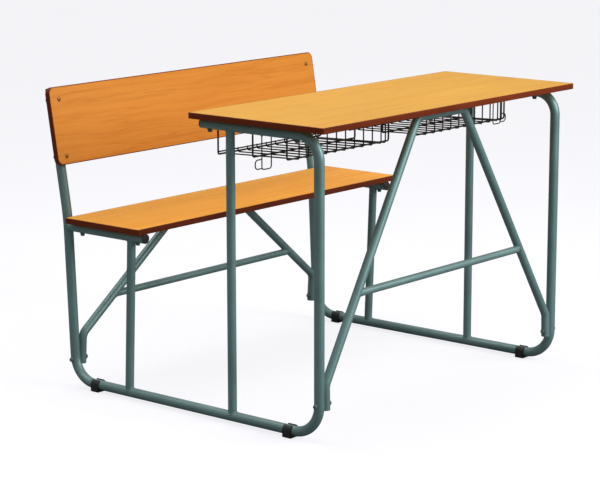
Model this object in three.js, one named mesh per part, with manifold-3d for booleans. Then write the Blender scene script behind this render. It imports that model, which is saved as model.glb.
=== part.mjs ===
// A double school desk with its bench: one welded steel tube frame that carries a desk top, a seat and a
// backrest for two pupils. Millimetres, Z up. The pupils sit towards +Y and face -Y.
// Lengths are measured from the front legs' centres (y = 0), the middle of the width (x = 0) and the floor
// (z = 0). The last lines move the whole so that its origin is the middle of its footprint.

import * as THREE from 'three';
import { mergeVertices } from 'three/addons/utils/BufferGeometryUtils.js';
import Module from 'manifold-3d';

const wasm = await Module();
wasm.setup();

// Heights above the floor
const DESK_TOP_HEIGHT = 760;
const SEAT_TOP_HEIGHT = 450;

// Boards, each with a plastic band glued round its edge
const BOARD_LENGTH = 1050;
const BOARD_THICKNESS = 15;
const BOARD_CORNER_RADIUS = 6;
const BACKREST_CORNER_RADIUS = 18;
const EDGE_BAND_THICKNESS = 2;
const DESK_TOP_DEPTH = 420;
const SEAT_DEPTH = 260;
const BACKREST_BREADTH = 200;
const DESK_TOP_OVERHANG = 37;
const DESK_TO_SEAT_GAP = 171;
const SEAT_TO_POST_GAP = 8;
const SEAT_TO_BACKREST_GAP = 130;
const BACKREST_LEAN_ANGLE = THREE.MathUtils.degToRad(9.5);

// Side frames: one bent tube each, with two uprights and a seat rail
const FRAME_TUBE_DIAMETER = 25;
const UPRIGHT_TUBE_DIAMETER = 22;
const TUBE_WALL = 1.5;
const FRAME_INSET = 32;
const TOP_BEND_RADIUS = 58;
const FRONT_FOOT_BEND_RADIUS = 75;
const REAR_FOOT_BEND_RADIUS = 68;
const POST_BEND_RADIUS = 600;
const POST_BEND_DROP = 5;
const POST_TOP_SETBACK = 5;
const POST_LEAN_ANGLE = THREE.MathUtils.degToRad(2.5);
const DESK_RAIL_SETBACK = 20;
const SEAT_RAIL_SETBACK = 6;
const DESK_UPRIGHT_SETBACK = 109;
const SEAT_UPRIGHT_SETBACK = 54;
const SEAT_UPRIGHT_LEAN_ANGLE = THREE.MathUtils.degToRad(2.3);

// Braces: an A of bent tube under the desk top and another under the seat, each with a crossbar
const BRACE_TUBE_DIAMETER = 22;
const CROSSBAR_DIAMETER = 19;
const BRACE_BEND_RADIUS = 30;
const DESK_BRACE_FOOT_HEIGHT = 77;
const DESK_BRACE_KNEE_HEIGHT = 137;
const DESK_BRACE_TOP_HALF = 96;
const DESK_BRACE_TOP_SETBACK = 15;
const DESK_CROSSBAR_HEIGHT = 337;
const SEAT_BRACE_FOOT_HEIGHT = 57;
const SEAT_BRACE_KNEE_HEIGHT = 135;
const SEAT_BRACE_TOP_HALF = 104;
const SEAT_BRACE_TOP_INSET = 17;
const SEAT_CROSSBAR_HEIGHT = 223;

// Foot clips and tube end plugs
const GLIDE_PAD_THICKNESS = 4;
const GLIDE_LENGTH = 25;
const GLIDE_WALL = 3;
const GLIDE_ARM_ANGLE = THREE.MathUtils.degToRad(62);
const GLIDE_TO_BEND_GAP = 2;
const PLUG_HEAD_THICKNESS = 3;
const PLUG_CHAMFER = 1;
const PLUG_DEPTH = 12;

// Bolts, nuts and screws
const BOLT_DIAMETER = 6;
const BOLT_HEAD_DIAMETER = 12;
const BOLT_HEAD_HEIGHT = 5;
const NUT_HEIGHT = 5;
const BOLT_END_LENGTH = 2;
const BOLT_FLANGE_DIAMETER = 14;
const BOLT_FLANGE_THICKNESS = 2;
const BACKREST_BOLT_HEAD_HEIGHT = 2.5;
const BRACE_BOLT_RISE = 15;
const DESK_BOLT_TO_BEND_GAP = 1;
const DESK_BOLT_BACK_INSET = 44;
const SEAT_BOLT_INSET = 32;
const BACKREST_BOLT_TOP_INSET = 32;
const BACKREST_BOLT_BOTTOM_INSET = 22;
const DESK_BRACE_SCREW_HALF = 40;
const SEAT_BRACE_SCREW_HALF = 56;
const BOARD_BITE_SHARE = 0.7;

// Wire baskets under the desk top, and the bag hooks at their outer ends
const BASKET_MIDDLE_HALF = 57;
const BASKET_TO_FRAME_GAP = 43;
const BASKET_DROP = 85;
const BASKET_FRONT_INSET = 171;
const BASKET_BACK_INSET = 31;
const BASKET_MIDDLE_WIRE_SHARE = 0.49;
const BASKET_LONG_WIRE_DIAMETER = 4.5;
const BASKET_CROSS_WIRE_DIAMETER = 3.5;
const BASKET_CROSS_WIRE_COUNT = 10;
const BASKET_LEFT_MARGIN = 41;
const BASKET_RIGHT_MARGIN = 34;
const BASKET_EXTRA_WIRE_INSET = 16.5;
const BASKET_BACK_FALL = 8;
const BASKET_LIP_RISE = 6;
const BASKET_BEND_RADIUS = 5;
const WIRE_WELD_DEPTH = 0.9;
const WIRE_FOOT_LENGTH = 20;
const WIRE_FOOT_BEND_RADIUS = 5;
const HOOK_WIRE_DIAMETER = 3;
const HOOK_TO_BASKET_GAP = 5;
const HOOK_FRONT_INSET = 41;
const HOOK_DROP = 107;
const HOOK_BEND_RADIUS = 7;
const HOOK_CURL_RISE = 3;
const HOOK_CURL_REACH = 24;
const HOOK_CURL_HEIGHT = 22;
const HOOK_CURL_BEND_RADIUS = 9;

// Clearance between pieces that touch, how far a cutter runs past what it cuts, and how near two corners
// lie that are one
const FIT_GAP = 0.3;
const CUT_OVERRUN = 5;
const CORNER_MERGE_DISTANCE = 0.00003;

// Facets of round work
const TUBE_SIDES = 14;
const BORE_SIDES = 10;
const WIRE_SIDES = 5;
const BOLT_SIDES = 6;
const CORNER_STEPS = 5;
const GLIDE_INNER_STEPS = 12;
const GLIDE_OUTER_STEPS = 3;
const TUBE_BEND_STEP_ANGLE = THREE.MathUtils.degToRad(22.5);
const WIRE_BEND_STEP_ANGLE = THREE.MathUtils.degToRad(45);

const SIDES = [
  { name: 'left', sign: -1 },
  { name: 'right', sign: 1 },
];
const RAIL_BOLT_PLACES = ['front', 'back'];
const BACKREST_BOLT_PLACES = ['upper', 'lower'];

// Places that several pieces share
const frameRadius = FRAME_TUBE_DIAMETER / 2;
const uprightRadius = UPRIGHT_TUBE_DIAMETER / 2;
const braceRadius = BRACE_TUBE_DIAMETER / 2;
const boltRadius = BOLT_DIAMETER / 2;
const boreRadius = (boltRadius + FIT_GAP) / Math.cos(Math.PI / BOLT_SIDES);
const frameHalf = BOARD_LENGTH / 2 - FRAME_INSET;
const deskUnderside = DESK_TOP_HEIGHT - BOARD_THICKNESS;
const seatUnderside = SEAT_TOP_HEIGHT - BOARD_THICKNESS;
const deskFront = -DESK_TOP_OVERHANG;
const deskBack = deskFront + DESK_TOP_DEPTH;
const seatFront = deskBack + DESK_TO_SEAT_GAP;
const seatBack = seatFront + SEAT_DEPTH;
const footRailHeight = GLIDE_PAD_THICKNESS + FIT_GAP + frameRadius;
const deskRailHeight = deskUnderside - FIT_GAP - frameRadius;
const seatRailHeight = seatUnderside - FIT_GAP - frameRadius;
const boardBite = BOARD_THICKNESS * BOARD_BITE_SHARE;

// The back post leans a little from its foot to the seat, and leans more behind the backrest
const postBend = place(0, seatBack + SEAT_TO_POST_GAP + frameRadius, SEAT_TOP_HEIGHT - POST_BEND_DROP);
const postFootY = postY(footRailHeight);
const backrestStack = frameRadius + FIT_GAP + BOARD_THICKNESS;
const backrestBottomRise = SEAT_TOP_HEIGHT + SEAT_TO_BACKREST_GAP - postBend.z
  - (frameRadius + FIT_GAP) * Math.sin(BACKREST_LEAN_ANGLE);
const backrestBottomRun = backrestBottomRise / Math.cos(BACKREST_LEAN_ANGLE);
const backrestTopRun = backrestBottomRun + BACKREST_BREADTH;
const backrestFrame = new THREE.Matrix4()
  .makeTranslation(postBend)
  .multiply(new THREE.Matrix4().makeRotationX(-BACKREST_LEAN_ANGLE));

const deskUprightY = deskBack - DESK_UPRIGHT_SETBACK;
const seatUprightTopY = seatFront + SEAT_UPRIGHT_SETBACK;
const braceFootX = frameHalf - frameRadius - FIT_GAP - braceRadius;
const deskBoltYs = [
  TOP_BEND_RADIUS + DESK_BOLT_TO_BEND_GAP + BOLT_FLANGE_DIAMETER / 2,
  deskBack - DESK_BOLT_BACK_INSET,
];
const seatBoltYs = [seatFront + SEAT_BOLT_INSET, seatBack - SEAT_BOLT_INSET];
const backrestBoltRuns = [
  backrestTopRun - BACKREST_BOLT_TOP_INSET,
  backrestBottomRun + BACKREST_BOLT_BOTTOM_INSET,
];

const deskBraceBoltHeight = DESK_BRACE_FOOT_HEIGHT + BRACE_BOLT_RISE;
const seatBraceBoltHeight = SEAT_BRACE_FOOT_HEIGHT + BRACE_BOLT_RISE;
const deskBraceFoot = place(0, 0, deskBraceBoltHeight);
const deskBraceTop = place(0, DESK_BRACE_TOP_SETBACK, deskUnderside - FIT_GAP - braceRadius);
const deskBraceLean = forwardLean(deskBraceFoot, deskBraceTop);
const seatBraceFoot = place(0, postY(seatBraceBoltHeight), seatBraceBoltHeight);
const seatBraceTop = place(0, seatBack - SEAT_BRACE_TOP_INSET, seatUnderside - FIT_GAP - braceRadius);
const seatBraceLean = forwardLean(seatBraceFoot, seatBraceTop);

const longWireRadius = BASKET_LONG_WIRE_DIAMETER / 2;
const crossWireRadius = BASKET_CROSS_WIRE_DIAMETER / 2;
const hookWireRadius = HOOK_WIRE_DIAMETER / 2;
const basketOuter = frameHalf - BASKET_TO_FRAME_GAP;
const basketLeft = -basketOuter;
const basketRight = -BASKET_MIDDLE_HALF;
const basketStep = basketOuter + BASKET_MIDDLE_HALF;
const basketFront = deskFront + BASKET_FRONT_INSET;
const basketBack = deskBack - BASKET_BACK_INSET;
const basketMiddle = THREE.MathUtils.lerp(basketFront, basketBack, BASKET_MIDDLE_WIRE_SHARE);
const basketFloor = deskUnderside - BASKET_DROP;
const wireStack = longWireRadius + crossWireRadius - WIRE_WELD_DEPTH;
const hookInnerX = basketOuter + longWireRadius + HOOK_TO_BASKET_GAP + hookWireRadius;
const hookY = basketFront + HOOK_FRONT_INSET;
const hookBottom = deskUnderside - HOOK_DROP;
const hookWeldHeight = deskRailHeight - frameRadius - FIT_GAP;

// Finishes
const PAINTED_STEEL = { color: 0x5c7c78, roughness: 0.42, metalness: 0.3 };
const LAMINATE = { color: 0xe2a24c, roughness: 0.4, metalness: 0 };
const BAND_PLASTIC = { color: 0x5a1d12, roughness: 0.45, metalness: 0 };
const BLACK_PLASTIC = { color: 0x15171a, roughness: 0.55, metalness: 0 };
const BLACK_WIRE = { color: 0x16181b, roughness: 0.4, metalness: 0.4 };
const DARK_STEEL = { color: 0x4a4a4d, roughness: 0.4, metalness: 0.9 };

function place(x, y, z) {
  return new THREE.Vector3(x, y, z);
}

// Where the back post's centre line stands at a height below its bend
function postY(height) {
  return postBend.y - (postBend.z - height) * Math.tan(POST_LEAN_ANGLE);
}

// How far a brace leans to the front, from the bolts in its feet up to its top run
function forwardLean(foot, top) {
  return Math.atan2(foot.y - top.y, top.z - foot.z);
}

// A centre line given as the places where the tube's section stands
class BentLine extends THREE.Curve {
  constructor(stations) {
    super();
    this.stations = stations;
  }

  stationIndex(share) {
    return Math.round(share * (this.stations.length - 1));
  }

  getPoint(share, target = new THREE.Vector3()) {
    return target.copy(this.stations[this.stationIndex(share)]);
  }

  getPointAt(share, target) {
    return this.getPoint(share, target);
  }

  // The section stands square to the mean of the directions before and after its station
  getTangentAt(share, target = new THREE.Vector3()) {
    const index = this.stationIndex(share);
    const before = this.stations[Math.max(index - 1, 0)];
    const here = this.stations[index];
    const after = this.stations[Math.min(index + 1, this.stations.length - 1)];
    const arriving = here.clone().sub(before).normalize();
    const leaving = after.clone().sub(here).normalize();
    return target.copy(arriving).add(leaving).normalize();
  }
}

// Straight runs between corners, with every inner corner rounded to its bend radius
function bentLine(corners, radii, stepAngle) {
  const stations = [corners[0]];
  for (let index = 1; index < corners.length - 1; index += 1) {
    const radius = Array.isArray(radii) ? radii[index - 1] : radii;
    const bend = bendStations(corners[index - 1], corners[index], corners[index + 1], radius, stepAngle);
    stations.push(...bend);
  }
  stations.push(corners[corners.length - 1]);
  return new BentLine(stations);
}

function bendStations(before, corner, after, radius, stepAngle) {
  const back = before.clone().sub(corner).normalize();
  const ahead = after.clone().sub(corner).normalize();
  const turn = Math.PI - back.angleTo(ahead);
  const start = corner.clone().addScaledVector(back, radius * Math.tan(turn / 2));
  const towardsCentre = back.clone().add(ahead).normalize();
  const centre = corner.clone().addScaledVector(towardsCentre, radius / Math.cos(turn / 2));
  const outward = start.clone().sub(centre).normalize();
  const steps = Math.max(2, Math.round(turn / stepAngle));
  const stations = [];
  for (let step = 0; step <= steps; step += 1) {
    const angle = turn * step / steps;
    const station = centre.clone();
    station.addScaledVector(outward, radius * Math.cos(angle));
    station.addScaledVector(back, -radius * Math.sin(angle));
    stations.push(station);
  }
  return stations;
}

function circlePoints(radius, sides) {
  const points = [];
  for (let side = 0; side < sides; side += 1) {
    const angle = 2 * Math.PI * side / sides;
    points.push(new THREE.Vector2(radius * Math.cos(angle), radius * Math.sin(angle)));
  }
  return points;
}

function arcPoints(radius, from, to, steps) {
  const points = [];
  for (let step = 0; step <= steps; step += 1) {
    const angle = THREE.MathUtils.lerp(from, to, step / steps);
    points.push(new THREE.Vector2(radius * Math.cos(angle), radius * Math.sin(angle)));
  }
  return points;
}

function sweep(shape, line) {
  return new THREE.ExtrudeGeometry(shape, { steps: line.stations.length - 1, extrudePath: line });
}

// A hollow tube, and the solid rod that stands for a wire or for a cutter
function tube(line, radius) {
  const shape = new THREE.Shape(circlePoints(radius, TUBE_SIDES));
  shape.holes.push(new THREE.Path(circlePoints(radius - TUBE_WALL, BORE_SIDES)));
  return sweep(shape, line);
}

function rod(line, radius, sides) {
  return sweep(new THREE.Shape(circlePoints(radius, sides)), line);
}

function wire(corners, radii, radius) {
  return rod(bentLine(corners, radii, WIRE_BEND_STEP_ANGLE), radius, WIRE_SIDES);
}

function straightRod(from, to, radius, sides) {
  return rod(new BentLine([from, to]), radius, sides);
}

// Solids for joining and cutting
function solidOf(geometry) {
  const bare = new THREE.BufferGeometry();
  bare.setAttribute('position', geometry.getAttribute('position'));
  bare.setIndex(geometry.getIndex());
  const merged = mergeVertices(bare, CORNER_MERGE_DISTANCE);
  return new wasm.Manifold(new wasm.Mesh({
    numProp: 3,
    vertProperties: merged.getAttribute('position').array,
    triVerts: new Uint32Array(merged.getIndex().array),
  }));
}

function geometryOf(solid) {
  const mesh = solid.getMesh();
  const geometry = new THREE.BufferGeometry();
  geometry.setAttribute('position', new THREE.BufferAttribute(mesh.vertProperties, 3));
  geometry.setIndex(new THREE.BufferAttribute(mesh.triVerts, 1));
  geometry.computeVertexNormals();
  return geometry;
}

function cut(geometry, cutters) {
  let solid = solidOf(geometry);
  for (const cutter of cutters) {
    solid = solid.subtract(solidOf(cutter));
  }
  return geometryOf(solid);
}

function joined(geometries) {
  let solid = solidOf(geometries[0]);
  for (const geometry of geometries.slice(1)) {
    solid = solid.add(solidOf(geometry));
  }
  return geometryOf(solid);
}

function piece(name, geometry, finish) {
  const mesh = new THREE.Mesh(geometry, new THREE.MeshStandardMaterial(finish));
  mesh.name = name;
  return mesh;
}

// Turned pieces stand along +Z from their seat at z = 0
function turned(profile, sides) {
  const points = profile.map(([radius, height]) => new THREE.Vector2(radius, height));
  return new THREE.LatheGeometry(points, sides).rotateX(Math.PI / 2);
}

// A bolt or screw with its shank along +Z and its head below z = 0
function headedPin(headHeight, shankLength) {
  return turned([
    [0, -headHeight],
    [BOLT_HEAD_DIAMETER / 2, -headHeight],
    [BOLT_HEAD_DIAMETER / 2, 0],
    [boltRadius, 0],
    [boltRadius, shankLength],
    [0, shankLength],
  ], BOLT_SIDES);
}

// A hexagon bolt whose head carries a wide flange against the tube
function flangeBolt(shankLength) {
  const flangeRadius = BOLT_FLANGE_DIAMETER / 2;
  const headRadius = BOLT_HEAD_DIAMETER / 2;
  return turned([
    [0, -BOLT_FLANGE_THICKNESS - BOLT_HEAD_HEIGHT],
    [headRadius, -BOLT_FLANGE_THICKNESS - BOLT_HEAD_HEIGHT],
    [headRadius, -BOLT_FLANGE_THICKNESS],
    [flangeRadius, -BOLT_FLANGE_THICKNESS],
    [flangeRadius, 0],
    [boltRadius, 0],
    [boltRadius, shankLength],
    [0, shankLength],
  ], BOLT_SIDES);
}

function nut() {
  const outer = BOLT_HEAD_DIAMETER / 2;
  return turned([
    [boreRadius, 0],
    [outer, 0],
    [outer, NUT_HEIGHT],
    [boreRadius, NUT_HEIGHT],
    [boreRadius, 0],
  ], BOLT_SIDES);
}

function boltHole(from, to) {
  return straightRod(from, to, boreRadius, BOLT_SIDES);
}

// The long bent tube of a side frame: desk rail, front leg, floor rail and back post in one length
const frameLine = bentLine([
  place(0, deskBack - DESK_RAIL_SETBACK, deskRailHeight),
  place(0, 0, deskRailHeight),
  place(0, 0, footRailHeight),
  place(0, postFootY, footRailHeight),
  postBend,
  place(0, 0, backrestTopRun - POST_TOP_SETBACK).applyMatrix4(backrestFrame),
], [TOP_BEND_RADIUS, FRONT_FOOT_BEND_RADIUS, REAR_FOOT_BEND_RADIUS, POST_BEND_RADIUS], TUBE_BEND_STEP_ANGLE);

// What stands against the frame tube is shaped to it with this
const frameSaddle = rod(frameLine, frameRadius + FIT_GAP, TUBE_SIDES);

function upHole(y, height, radius) {
  const reach = radius + CUT_OVERRUN;
  return boltHole(place(0, y, height - reach), place(0, y, height + reach));
}

function sideFrameTube() {
  const acrossPost = backrestBoltRuns.map((run) => {
    const reach = frameRadius + CUT_OVERRUN;
    return boltHole(place(0, -reach, run), place(0, reach, run)).applyMatrix4(backrestFrame);
  });
  const throughRail = deskBoltYs.map((y) => upHole(y, deskRailHeight, frameRadius));
  const forBraces = [
    acrossHole(frameRadius, deskBraceFoot.y, deskBraceBoltHeight),
    acrossHole(frameRadius, seatBraceFoot.y, seatBraceBoltHeight),
  ];
  return cut(tube(frameLine, frameRadius), [...acrossPost, ...throughRail, ...forBraces]);
}

function acrossHole(radius, y, z) {
  const reach = radius + CUT_OVERRUN;
  return boltHole(place(-reach, y, z), place(reach, y, z));
}

function deskUpright() {
  const line = new BentLine([place(0, deskUprightY, footRailHeight), place(0, deskUprightY, deskRailHeight)]);
  return cut(tube(line, uprightRadius), [frameSaddle]);
}

const seatUprightFootY = seatUprightTopY
  + (seatRailHeight - footRailHeight) * Math.tan(SEAT_UPRIGHT_LEAN_ANGLE);
const seatRailFront = place(0, seatFront + SEAT_RAIL_SETBACK, seatRailHeight);
const seatRailBack = place(0, postY(seatRailHeight) - TUBE_WALL, seatRailHeight);

function seatUpright() {
  const line = new BentLine([
    place(0, seatUprightFootY, footRailHeight),
    place(0, seatUprightTopY, seatRailHeight),
  ]);
  const railSaddle = straightRod(seatRailFront, seatRailBack, frameRadius + FIT_GAP, TUBE_SIDES);
  return cut(tube(line, uprightRadius), [frameSaddle, railSaddle]);
}

function seatRail() {
  const line = new BentLine([seatRailFront, seatRailBack]);
  const holes = seatBoltYs.map((y) => upHole(y, seatRailHeight, frameRadius));
  return cut(tube(line, frameRadius), [frameSaddle, ...holes]);
}

// A plug pressed into an open tube end, its head flush with the tube, standing along +Z
function endPlug() {
  const insert = frameRadius - TUBE_WALL - FIT_GAP;
  return turned([
    [0, -PLUG_DEPTH],
    [insert, -PLUG_DEPTH],
    [insert, FIT_GAP],
    [frameRadius, FIT_GAP],
    [frameRadius, FIT_GAP + PLUG_HEAD_THICKNESS - PLUG_CHAMFER],
    [frameRadius - PLUG_CHAMFER, FIT_GAP + PLUG_HEAD_THICKNESS],
    [0, FIT_GAP + PLUG_HEAD_THICKNESS],
  ], BORE_SIDES);
}

// A plastic clip under the floor rail: a flat pad with two arms that hold round the tube
function footGlide() {
  const inner = frameRadius + FIT_GAP;
  const outer = inner + GLIDE_WALL;
  const outline = [
    new THREE.Vector2(-outer, -footRailHeight),
    new THREE.Vector2(outer, -footRailHeight),
    ...arcPoints(outer, 0, GLIDE_ARM_ANGLE, GLIDE_OUTER_STEPS),
    ...arcPoints(inner, GLIDE_ARM_ANGLE, -Math.PI - GLIDE_ARM_ANGLE, GLIDE_INNER_STEPS),
    ...arcPoints(outer, Math.PI - GLIDE_ARM_ANGLE, Math.PI, GLIDE_OUTER_STEPS),
  ];
  const clip = new THREE.Shape(outline);
  return new THREE.ExtrudeGeometry(clip, { depth: GLIDE_LENGTH, bevelEnabled: false })
    .translate(0, 0, -GLIDE_LENGTH / 2)
    .rotateX(Math.PI / 2);
}

function sideFrame({ name, sign }) {
  const group = new THREE.Group();
  group.position.x = sign * frameHalf;
  group.add(piece(`${name}_side_frame_tube`, sideFrameTube(), PAINTED_STEEL));
  group.add(piece(`${name}_desk_upright`, deskUpright(), PAINTED_STEEL));
  group.add(piece(`${name}_seat_upright`, seatUpright(), PAINTED_STEEL));
  group.add(piece(`${name}_seat_rail`, seatRail(), PAINTED_STEEL));

  const deskPlug = piece(`${name}_desk_rail_plug`, endPlug(), BLACK_PLASTIC);
  deskPlug.position.set(0, deskBack - DESK_RAIL_SETBACK, deskRailHeight);
  deskPlug.rotation.x = -Math.PI / 2;
  const seatPlug = piece(`${name}_seat_rail_plug`, endPlug(), BLACK_PLASTIC);
  seatPlug.position.copy(seatRailFront);
  seatPlug.rotation.x = Math.PI / 2;
  const postPlug = piece(`${name}_back_post_plug`, endPlug(), BLACK_PLASTIC);
  postPlug.position.set(0, 0, backrestTopRun - POST_TOP_SETBACK).applyMatrix4(backrestFrame);
  postPlug.rotation.x = -BACKREST_LEAN_ANGLE;
  group.add(deskPlug, seatPlug, postPlug);

  const rearTurn = Math.PI / 2 - POST_LEAN_ANGLE;
  const rearBendStart = postFootY - REAR_FOOT_BEND_RADIUS * Math.tan(rearTurn / 2);
  const glideReach = GLIDE_TO_BEND_GAP + GLIDE_LENGTH / 2;
  const frontGlide = piece(`${name}_front_foot_glide`, footGlide(), BLACK_PLASTIC);
  frontGlide.position.set(0, FRONT_FOOT_BEND_RADIUS + glideReach, footRailHeight);
  const rearGlide = piece(`${name}_rear_foot_glide`, footGlide(), BLACK_PLASTIC);
  rearGlide.position.set(0, rearBendStart - glideReach, footRailHeight);
  group.add(frontGlide, rearGlide);
  return group;
}

// An A-shaped brace drawn flat: x across, z up from the bolts in its feet
function braceLine(feetDrop, kneeRise, topHalf, topRise) {
  return bentLine([
    place(-braceFootX, 0, -feetDrop),
    place(-braceFootX, 0, kneeRise),
    place(-topHalf, 0, topRise),
    place(topHalf, 0, topRise),
    place(braceFootX, 0, kneeRise),
    place(braceFootX, 0, -feetDrop),
  ], BRACE_BEND_RADIUS, TUBE_BEND_STEP_ANGLE);
}

// One brace with its crossbar, leaned about the bolts in its feet
function brace(name, foot, lean, kneeHeight, topHalf, topHeight, crossbarHeight, screwHalf) {
  const group = new THREE.Group();
  const slant = 1 / Math.cos(lean);
  const kneeRise = (kneeHeight - foot.z) * slant;
  const topRise = (topHeight - foot.z) * slant;
  const barRise = (crossbarHeight - foot.z) * slant;
  const line = braceLine(BRACE_BOLT_RISE, kneeRise, topHalf, topRise);
  const feetHoles = [-braceFootX, braceFootX].map((x) => acrossHole(braceRadius, 0, 0).translate(x, 0, 0));
  const screwXs = [-screwHalf, screwHalf];
  const screwHoles = screwXs.map((x) => upHole(0, topRise, braceRadius).translate(x, 0, 0));
  const bent = cut(tube(line, braceRadius), [...feetHoles, ...screwHoles]);

  const barShare = (barRise - kneeRise) / (topRise - kneeRise);
  const barHalf = THREE.MathUtils.lerp(braceFootX, topHalf, barShare);
  const barLine = new BentLine([place(-barHalf, 0, barRise), place(barHalf, 0, barRise)]);
  const saddle = rod(line, braceRadius + FIT_GAP, TUBE_SIDES);
  const bar = cut(tube(barLine, CROSSBAR_DIAMETER / 2), [saddle]);

  group.add(piece(`${name}_tube`, bent, PAINTED_STEEL));
  group.add(piece(`${name}_crossbar`, bar, PAINTED_STEEL));
  for (const side of SIDES) {
    group.add(...braceFixings(`${side.name}_${name}`, side.sign, screwHalf, topRise));
  }
  group.position.copy(foot);
  group.rotation.x = lean;
  return group;
}

// On each side a screw holds the brace's top run up to the board, and a bolt along X goes through the leg
// and the brace's foot, with its head outside and its nut inside
function braceFixings(name, sign, screwHalf, topRise) {
  const underTube = braceRadius + FIT_GAP;
  const screw = headedPin(BOLT_HEAD_HEIGHT, 2 * underTube + boardBite);
  const outerSeat = frameHalf + frameRadius + FIT_GAP;
  const innerSeat = braceFootX - braceRadius - FIT_GAP;
  const bolt = headedPin(BOLT_HEAD_HEIGHT, outerSeat - innerSeat + NUT_HEIGHT + BOLT_END_LENGTH);
  return [
    piece(`${name}_screw`, screw.translate(sign * screwHalf, 0, topRise - underTube), DARK_STEEL),
    piece(`${name}_bolt`, bolt.rotateY(-sign * Math.PI / 2).translate(sign * outerSeat, 0, 0), DARK_STEEL),
    piece(`${name}_nut`, nut().rotateY(-sign * Math.PI / 2).translate(sign * innerSeat, 0, 0), DARK_STEEL),
  ];
}

// A flat board with rounded corners, lying from z = 0 up
function roundedOutline(length, breadth, radius) {
  const x = length / 2 - radius;
  const y = breadth / 2 - radius;
  const corners = [[x, -y], [x, y], [-x, y], [-x, -y]];
  return corners.flatMap(([cornerX, cornerY], index) => {
    const from = (index - 1) * Math.PI / 2;
    const arc = arcPoints(radius, from, from + Math.PI / 2, CORNER_STEPS);
    return arc.map((point) => point.add(new THREE.Vector2(cornerX, cornerY)));
  });
}

function insetOutline(breadth, cornerRadius, inset) {
  return roundedOutline(BOARD_LENGTH - 2 * inset, breadth - 2 * inset, cornerRadius - inset);
}

function boardSlab(outline, hole) {
  const shape = new THREE.Shape(outline);
  if (hole) {
    shape.holes.push(new THREE.Path(hole));
  }
  return new THREE.ExtrudeGeometry(shape, { depth: BOARD_THICKNESS, bevelEnabled: false });
}

function boardCore(breadth, cornerRadius) {
  return boardSlab(insetOutline(breadth, cornerRadius, EDGE_BAND_THICKNESS + FIT_GAP));
}

function edgeBand(breadth, cornerRadius) {
  const inner = insetOutline(breadth, cornerRadius, EDGE_BAND_THICKNESS);
  return boardSlab(insetOutline(breadth, cornerRadius, 0), inner);
}

// Bolts stand up through a rail into the board above it, heads under the rail
function railBolts(name, ys, railHeight) {
  const underRail = railHeight - frameRadius - FIT_GAP;
  const length = 2 * frameRadius + 2 * FIT_GAP + boardBite;
  return SIDES.flatMap((side) => ys.map((y, index) => {
    const bolt = piece(`${side.name}_${RAIL_BOLT_PLACES[index]}_${name}`, flangeBolt(length), DARK_STEEL);
    bolt.position.set(side.sign * frameHalf, y, underRail);
    return bolt;
  }));
}

// A blind hole up into a board from its underside, in the board's own frame
function blindHole(x, y) {
  return boltHole(place(x, y, -CUT_OVERRUN), place(x, y, boardBite + FIT_GAP));
}

function railBoltHoles(ys, boardMiddle) {
  return SIDES.flatMap(({ sign }) => ys.map((y) => blindHole(sign * frameHalf, y - boardMiddle)));
}

// A brace's screws lean with it, so their holes in the board above it do too
function braceScrewHoles(screwHalf, foot, lean, underside, boardMiddle) {
  const length = (underside - foot.z) / Math.cos(lean) + boardBite + FIT_GAP;
  return SIDES.map(({ sign }) => {
    const hole = boltHole(place(sign * screwHalf, 0, 0), place(sign * screwHalf, 0, length));
    return hole.rotateX(lean).translate(0, foot.y - boardMiddle, foot.z - underside);
  });
}

// The wires' feet lie flat under the desk top
const wireTop = deskUnderside - FIT_GAP;
const basketWireYs = [basketFront, basketMiddle, basketBack];

// The basket's floor falls a little towards its open back
function basketFloorAt(y) {
  const backShare = (y - basketFront) / (basketBack - basketFront);
  return basketFloor - BASKET_BACK_FALL * backShare;
}

// A lengthwise basket wire: feet under the desk top, down at both ends and along the floor of the basket
function longWire(y) {
  const footHeight = wireTop - longWireRadius;
  const floor = basketFloorAt(y);
  const corners = [
    place(basketLeft + WIRE_FOOT_LENGTH, y, footHeight),
    place(basketLeft, y, footHeight),
    place(basketLeft, y, floor),
    place(basketRight, y, floor),
    place(basketRight, y, footHeight),
    place(basketRight - WIRE_FOOT_LENGTH, y, footHeight),
  ];
  const radii = [WIRE_FOOT_BEND_RADIUS, BASKET_BEND_RADIUS, BASKET_BEND_RADIUS, WIRE_FOOT_BEND_RADIUS];
  return wire(corners, radii, longWireRadius);
}

const lipHeight = basketFloorAt(basketBack) + BASKET_LIP_RISE;

// The straight wire along the basket's low back edge
function lipWire() {
  const y = basketBack + wireStack - 2 * crossWireRadius + WIRE_WELD_DEPTH;
  const from = place(basketLeft, y, lipHeight);
  return straightRod(from, place(basketRight, y, lipHeight), crossWireRadius, WIRE_SIDES);
}

// A cross wire hangs from the lip, runs forward under the long wires and up the front of the basket
function crossWire(x) {
  const back = basketBack + wireStack;
  const front = basketFront - wireStack;
  return wire([
    place(x, back, lipHeight + crossWireRadius),
    place(x, back, basketFloorAt(back) - wireStack),
    place(x, front, basketFloorAt(front) - wireStack),
    place(x, front, wireTop),
  ], [WIRE_FOOT_BEND_RADIUS, BASKET_BEND_RADIUS], crossWireRadius);
}

// The left basket, all its wires welded where they cross. The cross wires stand evenly, with one more close
// to the basket's right end.
function basket() {
  const first = basketLeft + BASKET_LEFT_MARGIN;
  const last = basketRight - BASKET_RIGHT_MARGIN;
  const wires = [...basketWireYs.map(longWire), lipWire(), crossWire(basketRight - BASKET_EXTRA_WIRE_INSET)];
  for (let index = 0; index < BASKET_CROSS_WIRE_COUNT; index += 1) {
    const share = index / (BASKET_CROSS_WIRE_COUNT - 1);
    wires.push(crossWire(THREE.MathUtils.lerp(first, last, share)));
  }
  return joined(wires);
}

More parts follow.
